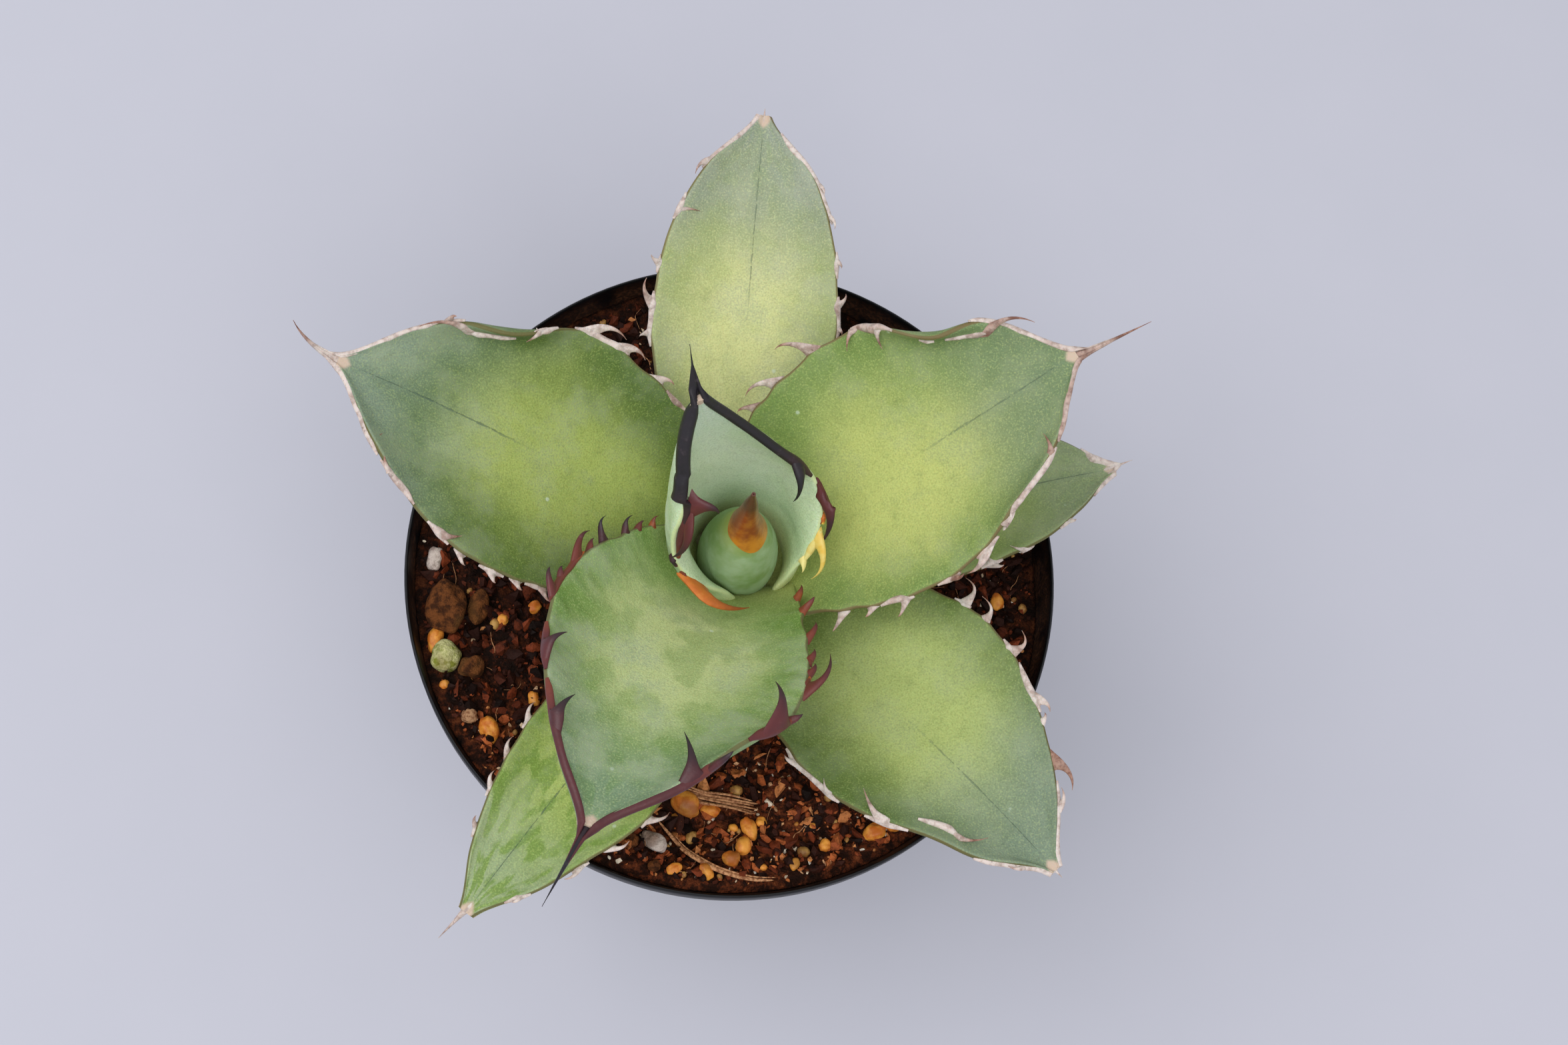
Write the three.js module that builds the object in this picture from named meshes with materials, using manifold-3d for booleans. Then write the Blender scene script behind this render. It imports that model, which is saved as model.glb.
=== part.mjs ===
// A young agave of the oteroi kind in a round nursery pot.
// Millimetres, +Z up, origin at the middle of the pot's underside. Azimuth 0 points along +X
// and 90 along +Y. The leaves are numbered by age, from the erect one round the bud outwards.

import * as THREE from "three";
import { mergeVertices } from "three/addons/utils/BufferGeometryUtils.js";
import Module from "manifold-3d";

const wasm = await Module();
wasm.setup();

// Pot
const POT_HEIGHT = 92;
const POT_RADIUS = 52.5; // over the lip
const POT_FOOT = 38;
const POT_SHOULDER = 50; // outer radius of the tapered wall where the rim band starts
const POT_WALL = 0.9;
const POT_FLOOR = 1.6;
const BAND_FOOT = 51.2; // outer radius of the rim band at its lower end
const BAND_HEIGHT = 12;
const BAND_STEP = 1.8; // height over which the wall widens to the band
const LIP_HEIGHT = 4;
const LIP_STEP = 0.5; // how far the lip stands out from the band
const LIP_ROUND = 0.3;
const FOOT_RING = [30, 34]; // inner and outer radius of the ring that stands on the table
const RING_DRAFT = 1; // how much wider the ring and the pad are where they leave the underside
const CENTRE_PAD = 10;
const RECESS = 2; // height of the underside between pad and ring
const FOOT_CHAMFER = 0.5;
const DRAIN_HOLES = 8;
const DRAIN_RADIUS = 3;
const DRAIN_CIRCLE = 20;
const DRAIN_SIDES = 12;
const POT_SIDES = 44;

// Soil
const SOIL_TOP = 86;
const SOIL_RADIUS = 50.35; // of its surface
const SOIL_DIP = 1.6; // the soil lies lower round the stem
const DIP_RADIUS = 30; // where that dip ends
const SOIL_TILT = -1.1; // and higher on the side away from +X, at the wall
const SOIL_CRUMB = 0.35; // height of its unevenness
const CRUMB_WAVES = [0.35, 0.4, 0.22, 0.3]; // its four waves, in radians per millimetre
const CRUMB_SHIFT = 1.3;
const SOIL_RINGS = [16, 21, 26, 31, 35, 39, 43, 47];
const SOIL_SIDES = 36;
const STONE_HEIGHT = 0.85; // of a grain's breadth
const STONE_PROUD = 0.15; // how far a grain's middle stands over the soil, of its breadth
const CLEARANCE = 0.3;

// Mineral grains on the soil: [x, y, length, breadth, turn in degrees]
const STONES = [
  [-46, -5, 8.5, 6.2, 100], [-41, -5, 5.6, 3.2, 80], [-42, -15, 4, 3.6, 20], [-46, -13.5, 5, 4.4, 60],
  [-48, 3, 4, 2.5, 80], [-13, -43, 4.4, 3, 150], [-48.5, -10.5, 4.2, 2.4, 75], [-46, -18, 1.6, 1.5, 0],
  [-39, -25, 4.4, 2.9, 110], [-37, -7, 1.8, 1.8, 0], [-8, -37, 5, 3.6, 145], [-4, -38, 3.2, 2.2, 170],
  [2, -41, 3.8, 2.4, 110], [1, -44, 3.4, 2.6, 80], [-1, -46, 2.8, 2.6, 30], [-5, -48, 3, 2, 120],
  [-10, -47.5, 2.8, 1.8, 20], [-13, -47, 2, 1.9, 0], [14, -44, 2.1, 2, 40], [22, -42, 3.8, 2.8, 20],
  [25, -41, 3, 2.2, 10], [9, -47, 2.1, 1.7, 70], [4, -40, 1.8, 1.6, 0], [44, -4, 2.9, 2.2, 100],
  [-32, -5, 2.4, 2, 30], [-42, -23, 2.6, 2.4, 10], [-32, -20, 2.8, 2, 100], [-17, -43, 3.2, 2.4, 20],
];

// Stem
// its outline from the foot up: [radius, height]
const STEM_PROFILE = [[8.5, 62], [11.5, 72], [11.5, 80], [10.5, 88], [8.7, 94], [8, 96.7]];
const STEM_RADIUS = 11.5;
const STEM_SIDES = 24;

// Leaves: every mark list runs evenly from the foot of the leaf to its tip
const LEAF_ROWS = 20;
const SIDE_STEPS = [0, 0.34, 0.66, 0.87, 1]; // midrib to margin
const MIDRIB_THICKNESS = [7, 6, 5.2, 4.5, 3.9, 3.3, 2.7, 2.1, 1.5];
const MARGIN_THICKNESS = 1.1;
const OPEN_WRAP = [1.0, 0.45, 0.6]; // how far each half of an open leaf bends up, in radians
const BEND_STEPS = 12;
const THINNING = 2.2; // how late a blade thins towards its margin
const CURL_FROM = 0.62; // place across a half where a rolled margin starts
const NEAR_MARGIN = 0.9;
const TOOTH_THICKNESS = 1.1;
const TOOTH_SINK = 1.4;
const HORN_WAIST = 0.55; // place along a horn where it has narrowed to that share of its width
const SPINE_THICKNESS = 1.8;
const SPINE_SINK = 2.5;
const SPINE_DROP = 0.9; // how far the middle of a spine's root lies below the upper face

// A tooth is [place along the leaf, reach towards the tip, reach outwards, lift, width at its root].
// A curl is [place along the leaf, half its stretch, roll in radians] of one margin.
const LEAVES = [
  {
    name: "leaf_1", azimuth: 122, turn: 0, rise: [82, 78], length: 43, foot: [7.2, 98], thin: 0.7,
    left: {
      width: [18, 18, 17, 16, 14.4, 12, 9, 5.2, 0.8], wrap: [2.6, 1.7, 1.0],
      curls: [[0.76, 0.2, 0.4], [0.42, 0.3, -1.3]],
    },
    right: {
      width: [21, 21, 20.5, 19, 16.5, 12.5, 8, 4, 0.8], wrap: [2.9, 1.6, 1.0],
      curls: [[0.4, 0.3, -0.7]],
    },
    spine: [9, -1.5, -3.4, 2],
    teeth: {
      left: [[0.65, 0, 2, 5, 4], [0.3, -10, 0.5, 2, 4]],
      right: [[0.6, -3.7, -0.4, 5, 3], [0.4, -10, -3, 2, 4], [0.3, -9.5, 0, 1, 3.5]],
    },
  },
  {
    name: "leaf_2", azimuth: -121, turn: 9, rise: [54, 27], length: 66, foot: [3, 97],
    left: {
      width: [11, 14, 17, 19.5, 20.8, 19.5, 15, 9, 0.8], wrap: [1.1, 0.6, 0.7],
      curls: [[0.72, 0.16, 0.5]],
    },
    right: { width: [11, 14, 17, 19.5, 20, 18, 13.8, 8, 0.8], wrap: [1.1, 0.6, 0.7] },
    spine: [13.5, -1.5, -1, 3],
    teeth: {
      left: [
        [0.84, -3.5, -6, 3.5, 6], [0.8, -4, 0, 1.5, 3], [0.66, -5, -5, 3.5, 7], [0.57, -1.5, 1, 1.5, 4],
        [0.43, -3, 3, 1, 5], [0.35, -1, 1.5, 0.5, 3], [0.28, -1, 3, 0.8, 3], [0.16, 0, 2, 0.5, 2.5],
      ],
      right: [
        [0.83, -3, -3, 2.5, 5], [0.68, -2, -2.5, 2.5, 6], [0.52, -1.5, 2, 1, 3.5], [0.44, -1.5, 1.2, 1, 3],
        [0.31, -1, 3.4, 1, 3], [0.23, -1, 1.8, 0.8, 3],
      ],
    },
  },
  {
    name: "leaf_3", azimuth: 22, turn: 7, rise: [46, 24], length: 63, foot: [3, 95],
    left: {
      width: [12, 16, 19.5, 21.5, 22, 20.5, 16, 11, 0.8], wrap: OPEN_WRAP,
      curls: [[0.74, 0.16, 1.5]],
    },
    right: {
      width: [12, 15, 17.5, 19.5, 20, 18.5, 16, 9.5, 0.8], wrap: OPEN_WRAP,
      curls: [[0.74, 0.14, 0.7]],
    },
    spine: [12, -2.4, 2, 2.6],
    teeth: {
      left: [
        [0.84, 7, 0.5, 1.5, 5], [0.64, 0, -3.5, 2, 5], [0.58, -2, -2.5, 2, 4], [0.46, -4.6, 3.6, 1, 4],
        [0.34, -4.8, 2.1, 1, 4], [0.26, -2, 2, 1, 3],
      ],
      right: [
        [0.83, 2.5, -2.2, 1.5, 6], [0.68, -1.5, -0.8, 1, 5], [0.6, -4.5, 0.8, 0.5, 6],
        [0.5, 2, 0.8, 0.8, 4], [0.38, -1.6, 2.7, 0.3, 3], [0.3, -1, 1.6, 0.3, 3], [0.23, -1, 3.6, 0.3, 3],
      ],
    },
  },
  {
    name: "leaf_4", azimuth: 155, turn: 6, rise: [36, 14], length: 69, foot: [3, 93.5],
    left: { width: [11, 14, 17, 19.5, 21, 20.5, 16.5, 10.5, 0.8], wrap: OPEN_WRAP },
    right: {
      width: [11, 14, 17, 19, 20.5, 18.5, 15, 9, 0.8], wrap: OPEN_WRAP,
      curls: [[0.7, 0.16, 1.6]],
    },
    spine: [8.3, -2, 4.5, 3],
    teeth: {
      left: [
        [0.87, 1, -2.2, 1, 4], [0.8, 4, -0.9, 0.8, 5], [0.67, -2.6, -2, 1.5, 6], [0.61, -1.5, 1.5, 0.5, 3],
        [0.53, -1, 1.8, 0.5, 4], [0.47, -1, 1.4, 0.5, 3], [0.41, -1, 2.3, 0.5, 3],
      ],
      right: [
        [0.81, -1.5, 1, 1, 4], [0.71, 8, 0.5, 1.5, 5], [0.64, 2.5, -1.5, 1, 4], [0.54, -6, 0.6, 1, 5],
        [0.46, -4, 0.8, 1, 5], [0.36, -2.5, 1.2, 1, 4],
      ],
    },
  },
  {
    name: "leaf_5", azimuth: -45, turn: -5, rise: [24, 3], length: 68, foot: [3, 92],
    left: { width: [10, 13, 16, 18, 19.5, 18, 14, 8.5, 0.8], wrap: OPEN_WRAP },
    right: { width: [10, 13, 15.5, 17.5, 18.2, 16.5, 12, 8, 0.8], wrap: OPEN_WRAP },
    spine: [1.5, 0, 0.5, 3],
    teeth: {
      left: [
        [0.44, 0, 3.8, 0.8, 4], [0.5, -2.4, 2.4, 0.8, 3], [0.59, -0.8, 3.2, 0.8, 4], [0.7, 3, 1.5, 0.5, 5],
        [0.75, -1.3, 0.8, 0.5, 3], [0.82, 4.8, 1.8, 0.5, 5], [0.91, -3.5, 0.6, 0.5, 4],
      ],
      right: [
        [0.95, -2.8, 0.6, 0.5, 3], [0.77, 6.5, -3.5, 1.5, 5], [0.68, -5, -3.6, 2.2, 6],
        [0.55, -2.6, -1.4, 1, 4], [0.44, -2, 0.8, 0.5, 4],
      ],
    },
  },
  {
    name: "leaf_6", azimuth: 88, turn: -4, rise: [28, 10], length: 71, foot: [3, 90.5],
    left: { width: [9, 11, 13, 14.5, 15.6, 15, 13, 8.5, 0.8], wrap: OPEN_WRAP },
    right: { width: [9, 11, 13, 14, 14.5, 14, 12.5, 8.5, 0.8], wrap: OPEN_WRAP },
    spine: [1.2, 0, 0.5, 3],
    teeth: {
      left: [
        [0.88, -3.5, 0.4, 0.6, 4], [0.76, 1.6, -3.2, 1.2, 4], [0.64, 1, 1.8, 0.6, 3],
        [0.55, 4, 1.6, 0.6, 4], [0.49, -0.7, 1.8, 0.4, 3],
      ],
      right: [
        [0.85, -2.2, 0.4, 0.6, 3], [0.78, -2.4, 0.5, 0.6, 3], [0.68, -1.3, 0.8, 0.5, 3],
        [0.58, 1.8, 1.4, 0.5, 3], [0.53, -1, 0.8, 0.5, 3],
      ],
    },
  },
  {
    name: "leaf_7", azimuth: -127, turn: -1, rise: [22, -6], length: 67, foot: [3, 89],
    left: { width: [8, 10, 12, 13, 14, 13.5, 10.5, 6.5, 0.8], wrap: OPEN_WRAP },
    right: { width: [8, 9, 10, 10.5, 10.5, 10, 8.5, 5.5, 0.8], wrap: OPEN_WRAP },
    spine: [5.5, -0.8, 1, 3],
    teeth: {
      left: [[0.9, 1.4, 0.6, 0.5, 3], [0.77, 3, 0.8, 0.8, 4], [0.7, -3, 0.8, 0.6, 3], [0.6, -3, 1.8, 0.5, 3]],
      right: [
        [0.84, -1.8, 0.6, 0.5, 3], [0.75, -2.5, 0.6, 0.5, 3], [0.67, -2.9, 0.6, 0.5, 3],
        [0.58, -3, 0.8, 0.5, 3],
      ],
    },
  },
  {
    name: "leaf_8", azimuth: 17, turn: -5, rise: [20, -8], length: 63, foot: [3, 88],
    left: { width: [8, 9.5, 11, 12, 12.5, 12, 10, 6, 0.8], wrap: OPEN_WRAP },
    right: { width: [8, 9.5, 11, 12, 12.5, 11.5, 10, 6, 0.8], wrap: OPEN_WRAP },
    spine: [3.5, 0.8, 1.2, 2.6],
    teeth: {
      left: [[0.86, -2, 0.8, 0.5, 3], [0.72, -2, 1, 0.5, 3]],
      right: [[0.83, 0.8, 0.9, 0.5, 3], [0.7, -2.4, -1.4, 1.2, 4], [0.6, 1.5, 1.2, 0.5, 4]],
    },
  },
];

// Bud
const BUD_FOOT = 97;
const BUD_HEIGHT = 33;
const BUD_RADIUS = [6.1, 6.4, 6.3, 5.9, 5.2, 4.2, 2.9, 1.8, 1];
const BUD_MIDDLE = [-0.2, -0.1];
const BUD_LEAN = [0.6, 1.8]; // how far the tip stands from the axis, along X and Y
const BUD_SIDES = 18;

const { degToRad, lerp, clamp, smoothstep } = THREE.MathUtils;

// A closed manifold solid from a geometry, its doubled vertices merged
function solidOf(geometry) {
  const bare = geometry.clone();
  bare.deleteAttribute("normal");
  bare.deleteAttribute("uv");
  const merged = mergeVertices(bare, 1e-4);
  return new wasm.Manifold(
    new wasm.Mesh({
      numProp: 3,
      vertProperties: new Float32Array(merged.attributes.position.array),
      triVerts: new Uint32Array(merged.index.array),
    }),
  );
}

// The geometry of a solid, for a mesh
function geometryOf(solid) {
  const mesh = solid.getMesh();
  const geometry = new THREE.BufferGeometry();
  geometry.setAttribute("position", new THREE.BufferAttribute(mesh.vertProperties, 3));
  geometry.setIndex(new THREE.BufferAttribute(mesh.triVerts, 1));
  geometry.computeVertexNormals();
  return geometry;
}

// The largest of the bodies that a cut leaves
function largestBody(solid) {
  return solid.decompose().reduce((a, b) => (b.volume() > a.volume() ? b : a));
}

// A solid of revolution about Z from [radius, height] points that start and end on the axis
function turned(points, sides) {
  const profile = points.map(([radius, height]) => new THREE.Vector2(radius, height));
  return new THREE.LatheGeometry(profile, sides).rotateX(Math.PI / 2);
}

// Skins rows of points that each close round a section, from a flat foot to a point
function lofted(rows, tip) {
  const count = rows[0].length;
  const positions = [...rows.flat(), tip].flatMap((p) => p.toArray());
  const index = [];
  const at = (row, k) => row * count + (k % count);
  for (let row = 0; row + 1 < rows.length; row++) {
    for (let k = 0; k < count; k++) {
      index.push(at(row, k), at(row, k + 1), at(row + 1, k + 1));
      index.push(at(row, k), at(row + 1, k + 1), at(row + 1, k));
    }
  }
  for (let k = 1; k + 1 < count; k++) index.push(at(0, 0), at(0, k + 1), at(0, k));
  for (let k = 0; k < count; k++) {
    index.push(at(rows.length - 1, k), at(rows.length - 1, k + 1), rows.length * count);
  }
  const geometry = new THREE.BufferGeometry();
  geometry.setAttribute("position", new THREE.Float32BufferAttribute(positions, 3));
  geometry.setIndex(index);
  return geometry;
}

// Smooth value through evenly spaced marks, at s from 0 to 1
function markAt(marks, s) {
  const x = clamp(s, 0, 1) * (marks.length - 1);
  const i = Math.min(Math.floor(x), marks.length - 2);
  const t = x - i;
  const before = marks[Math.max(i - 1, 0)];
  const after = marks[Math.min(i + 2, marks.length - 1)];
  const slopeIn = (marks[i + 1] - before) / 2;
  const slopeOut = (after - marks[i]) / 2;
  const [a, b] = [marks[i], marks[i + 1]];
  return a + slopeIn * t + (3 * (b - a) - 2 * slopeIn - slopeOut) * t * t
    + (slopeIn + slopeOut - 2 * (b - a)) * t * t * t;
}

// Direction of the midrib at s, with the way across to the left margin and the way up
function headingAt(leaf, s) {
  const rise = degToRad(lerp(leaf.rise[0], leaf.rise[1], s));
  const heading = degToRad(leaf.azimuth + leaf.turn * s);
  const ahead = new THREE.Vector3(
    Math.cos(rise) * Math.cos(heading), Math.cos(rise) * Math.sin(heading), Math.sin(rise),
  );
  const across = new THREE.Vector3(-Math.sin(heading), Math.cos(heading), 0);
  return { ahead, across, up: ahead.clone().cross(across) };
}

// Frames along the midrib, from the foot to the tip
function midribOf(leaf) {
  const azimuth = degToRad(leaf.azimuth);
  const [radius, height] = leaf.foot;
  const place = new THREE.Vector3(radius * Math.cos(azimuth), radius * Math.sin(azimuth), height);
  const frames = [];
  for (let row = 0; row <= LEAF_ROWS; row++) {
    frames.push({ s: row / LEAF_ROWS, place: place.clone(), ...headingAt(leaf, row / LEAF_ROWS) });
    const { ahead } = headingAt(leaf, (row + 0.5) / LEAF_ROWS);
    place.addScaledVector(ahead, leaf.length / LEAF_ROWS);
  }
  return frames;
}

// How far a half of the blade has bent up at q, from 0 at the midrib to 1 at the margin
function bendAt(half, s, q) {
  const rolled = (half.curls ?? []).reduce(
    (sum, [at, reach, roll]) => sum + roll * (1 - smoothstep(Math.abs(s - at) / reach, 0, 1)), 0,
  );
  return markAt(half.wrap, s) * q + rolled * smoothstep(q, CURL_FROM, 1);
}

// Point of the blade on one side (1 left, -1 right), q across and depth below the upper face,
// on a half that is wider by spread
function bladePoint(leaf, frame, side, q, depth, spread) {
  const half = side > 0 ? leaf.left : leaf.right;
  const width = markAt(half.width, frame.s) + spread;
  const step = (width * q) / BEND_STEPS;
  let out = 0;
  let rise = 0;
  for (let k = 0; k < BEND_STEPS; k++) {
    const bend = bendAt(half, frame.s, (q * (k + 0.5)) / BEND_STEPS);
    out += Math.cos(bend) * step;
    rise += Math.sin(bend) * step;
  }
  const bend = bendAt(half, frame.s, q);
  return frame.place.clone()
    .addScaledVector(frame.across, side * (out + depth * Math.sin(bend)))
    .addScaledVector(frame.up, rise - depth * Math.cos(bend));
}

// Thickness of a blade at s along it and q across it
function thicknessAt(leaf, s, q) {
  const middle = markAt(MIDRIB_THICKNESS, s) * (leaf.thin ?? 1);
  return lerp(middle, Math.min(MARGIN_THICKNESS, middle), q ** THINNING);
}

// The blade of a leaf, grown by a little where it is used to cut its older neighbours
function bladeOf(leaf, frames, grow) {
  const rows = frames.map((frame) => {
    const upper = [];
    const under = [];
    for (const side of [-1, 1]) {
      const steps = side < 0 ? SIDE_STEPS.slice(1).reverse() : SIDE_STEPS;
      for (const q of steps) {
        upper.push(bladePoint(leaf, frame, side, q, -grow, grow));
        under.push(bladePoint(leaf, frame, side, q, thicknessAt(leaf, frame.s, q) + grow, grow));
      }
    }
    return [...upper, ...under.reverse()];
  });
  return skinnedBlade(rows);
}

// Skins a blade with its upper and under faces split into triangles alike
function skinnedBlade(rows) {
  const count = rows[0].length;
  const half = count / 2;
  const positions = rows.flat().flatMap((p) => p.toArray());
  const at = (row, k) => row * count + k;
  const twin = (k) => count - 1 - k;
  const index = [];
  const quad = (a, b, c, d) => index.push(a, b, c, a, c, d);
  for (let row = 0; row + 1 < rows.length; row++) {
    for (let k = 0; k + 1 < half; k++) {
      quad(at(row, k), at(row + 1, k), at(row + 1, k + 1), at(row, k + 1));
      const [u, v] = [twin(k), twin(k + 1)];
      index.push(at(row, u), at(row + 1, v), at(row + 1, u), at(row, u), at(row, v), at(row + 1, v));
    }
    for (const [k, m] of [[0, twin(0)], [twin(half - 1), half - 1]]) {
      index.push(at(row, m), at(row + 1, m), at(row + 1, k), at(row, m), at(row + 1, k), at(row, k));
    }
  }
  const last = rows.length - 1;
  for (let k = 0; k + 1 < half; k++) {
    quad(at(0, k), at(0, k + 1), at(0, twin(k + 1)), at(0, twin(k)));
    quad(at(last, k), at(last, twin(k)), at(last, twin(k + 1)), at(last, k + 1));
  }
  const geometry = new THREE.BufferGeometry();
  geometry.setAttribute("position", new THREE.Float32BufferAttribute(positions, 3));
  geometry.setIndex(index);
  return geometry;
}

// A curved horn from a root: it leaves along `way`, ends at `reach`, and is flattened along `thin`
function hornOf(root, reach, way, wide, thin, width, thickness) {
  const middleAt = (t) => root.clone()
    .addScaledVector(way, t * (1 - t) * reach.length())
    .addScaledVector(reach, t);
  const corners = [[1, 1], [-1, 1], [-1, -1], [1, -1]];
  const rows = [[0, 1], [HORN_WAIST, HORN_WAIST]].map(([t, taper]) => corners.map(
    ([along, across]) => middleAt(t)
      .addScaledVector(wide, (along * taper * width) / 2)
      .addScaledVector(thin, (across * taper * thickness) / 2),
  ));
  return solidOf(facingOut(lofted(rows, middleAt(1))));
}

// Turns a closed geometry's faces round if they point inwards
function facingOut(geometry) {
  const p = geometry.attributes.position;
  const index = geometry.index.array;
  const [a, b, c] = [new THREE.Vector3(), new THREE.Vector3(), new THREE.Vector3()];
  let volume = 0;
  for (let i = 0; i < index.length; i += 3) {
    a.fromBufferAttribute(p, index[i]);
    b.fromBufferAttribute(p, index[i + 1]);
    c.fromBufferAttribute(p, index[i + 2]);
    volume += a.dot(b.cross(c));
  }
  if (volume < 0) {
    for (let i = 0; i < index.length; i += 3) [index[i + 1], index[i + 2]] = [index[i + 2], index[i + 1]];
  }
  return geometry;
}

// Teeth along both margins and the spine at the tip
function hornsOf(leaf, frames, grow) {
  const horns = [];
  for (const [name, side] of [["left", 1], ["right", -1]]) {
    for (const [at, forward, outward, lift, width] of leaf.teeth[name]) {
      const frame = frames[Math.round(at * LEAF_ROWS)];
      const edge = bladePoint(leaf, frame, side, 1, thicknessAt(leaf, frame.s, 1) / 2, 0);
      const depth = thicknessAt(leaf, frame.s, NEAR_MARGIN) / 2;
      const inner = bladePoint(leaf, frame, side, NEAR_MARGIN, depth, 0);
      const out = edge.clone().sub(inner).normalize();
      const next = frames[Math.min(Math.round(at * LEAF_ROWS) + 1, LEAF_ROWS)];
      const wide = bladePoint(leaf, next, side, 1, 0, 0)
        .sub(bladePoint(leaf, frame, side, 1, 0, 0))
        .normalize();
      out.addScaledVector(wide, -out.dot(wide)).normalize();
      const thin = wide.clone().cross(out);
      if (thin.dot(frame.up) < 0) thin.negate();
      const root = edge.clone().addScaledVector(out, -TOOTH_SINK);
      const reach = wide.clone().multiplyScalar(forward)
        .addScaledVector(out, outward + TOOTH_SINK)
        .addScaledVector(thin, lift);
      horns.push(hornOf(root, reach, out, wide, thin, width + 2 * grow, TOOTH_THICKNESS + 2 * grow));
    }
  }
  const [length, sideways, lift, width] = leaf.spine;
  const tip = frames[LEAF_ROWS];
  const root = tip.place.clone()
    .addScaledVector(tip.ahead, -SPINE_SINK)
    .addScaledVector(tip.up, -SPINE_DROP);
  const reach = tip.ahead.clone().multiplyScalar(length + SPINE_SINK)
    .addScaledVector(tip.across, sideways)
    .addScaledVector(tip.up, lift);
  const straight = new THREE.Vector3();
  const thickness = SPINE_THICKNESS + 2 * grow;
  horns.push(hornOf(root, reach, straight, tip.across, tip.up, width + 2 * grow, thickness));
  return horns;
}

// A whole leaf: blade, teeth and spine in one solid
function leafSolid(leaf, grow) {
  const frames = midribOf(leaf);
  return hornsOf(leaf, frames, grow).reduce(
    (solid, horn) => solid.add(horn), solidOf(facingOut(bladeOf(leaf, frames, grow))),
  );
}

// Inner face of the pot from its floor up to the rim: [radius, height]
const POT_INSIDE = [
  [POT_FOOT - POT_WALL, RECESS + POT_FLOOR],
  [POT_SHOULDER - POT_WALL, POT_HEIGHT - BAND_HEIGHT],
  [BAND_FOOT - POT_WALL, POT_HEIGHT - BAND_HEIGHT + BAND_STEP],
  [POT_RADIUS - POT_WALL, POT_HEIGHT - LIP_ROUND],
];

// The pot: pad, foot ring, tapered wall, wider rim band and drain holes
function potSolid() {
  const band = POT_HEIGHT - BAND_HEIGHT - POT_WALL;
  const outline = [
    [0, 0], [CENTRE_PAD, 0], [CENTRE_PAD + RING_DRAFT, RECESS], [FOOT_RING[0] - RING_DRAFT, RECESS],
    [FOOT_RING[0], 0], [FOOT_RING[1], 0], [FOOT_RING[1] + RING_DRAFT, RECESS],
    [POT_FOOT - FOOT_CHAMFER, RECESS], [POT_FOOT, RECESS + FOOT_CHAMFER],
    [POT_SHOULDER, band], [BAND_FOOT, band + BAND_STEP],
    [POT_RADIUS - LIP_STEP, POT_HEIGHT - LIP_HEIGHT - LIP_STEP], [POT_RADIUS, POT_HEIGHT - LIP_HEIGHT],
    [POT_RADIUS, POT_HEIGHT - LIP_ROUND], [POT_RADIUS - LIP_ROUND, POT_HEIGHT],
    [POT_RADIUS - POT_WALL + LIP_ROUND, POT_HEIGHT],
    ...POT_INSIDE.toReversed(), [0, RECESS + POT_FLOOR],
  ];
  let pot = solidOf(facingOut(turned(outline, POT_SIDES)));
  for (let k = 0; k < DRAIN_HOLES; k++) {
    const angle = (2 * Math.PI * k) / DRAIN_HOLES;
    const hole = new THREE.CylinderGeometry(DRAIN_RADIUS, DRAIN_RADIUS, POT_HEIGHT / 2, DRAIN_SIDES)
      .rotateX(Math.PI / 2)
      .translate(DRAIN_CIRCLE * Math.cos(angle), DRAIN_CIRCLE * Math.sin(angle), 0);
    pot = pot.subtract(solidOf(hole));
  }
  return pot;
}

// The stem, from its rounded foot in the soil to its top under the bud
function stemSolid(grow) {
  const side = STEM_PROFILE.map(([radius, height]) => [radius + grow, height]);
  side.at(0)[1] -= grow;
  side.at(-1)[1] += grow;
  return solidOf(facingOut(turned([[0, side.at(0)[1]], ...side, [0, side.at(-1)[1]]], STEM_SIDES)));
}

// The rolled bud, a leaning cone of rings that ends in its point
function budSolid(grow) {
  const middleAt = (t) => new THREE.Vector3(
    BUD_MIDDLE[0] + BUD_LEAN[0] * t * t, BUD_MIDDLE[1] + BUD_LEAN[1] * t * t, BUD_FOOT + BUD_HEIGHT * t,
  );
  const rows = BUD_RADIUS.map((radius, i) => {
    const middle = middleAt(i / BUD_RADIUS.length);
    if (i === 0) middle.z -= grow;
    return Array.from({ length: BUD_SIDES }, (_, k) => {
      const angle = (2 * Math.PI * k) / BUD_SIDES;
      const spoke = new THREE.Vector3(Math.cos(angle), Math.sin(angle), 0);
      return middle.clone().addScaledVector(spoke, radius + grow);
    });
  });
  const tip = middleAt(1);
  tip.z += 2 * grow;
  return solidOf(facingOut(lofted(rows, tip)));
}

// Height of the soil's surface at a place in the pot
function soilHeight(x, y) {
  const [a, b, c, d] = CRUMB_WAVES;
  const dip = SOIL_DIP * (1 - smoothstep(Math.hypot(x, y), STEM_RADIUS, DIP_RADIUS));
  const crumb = Math.sin(a * x + CRUMB_SHIFT) * Math.sin(b * y) + Math.sin(c * x - d * y);
  return SOIL_TOP - dip + (SOIL_TILT * x) / POT_RADIUS + SOIL_CRUMB * crumb;
}

// One grain, a squashed icosahedron half sunk in the soil and kept clear of the wall
function stoneSolid([x, y, length, breadth, turn]) {
  const inward = Math.min(1, (SOIL_RADIUS - length / 2) / Math.hypot(x, y));
  const stone = new THREE.IcosahedronGeometry(0.5, 0)
    .scale(length, breadth, STONE_HEIGHT * breadth)
    .rotateZ(degToRad(turn))
    .translate(x * inward, y * inward, soilHeight(x, y) + STONE_PROUD * breadth);
  return solidOf(stone);
}

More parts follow.
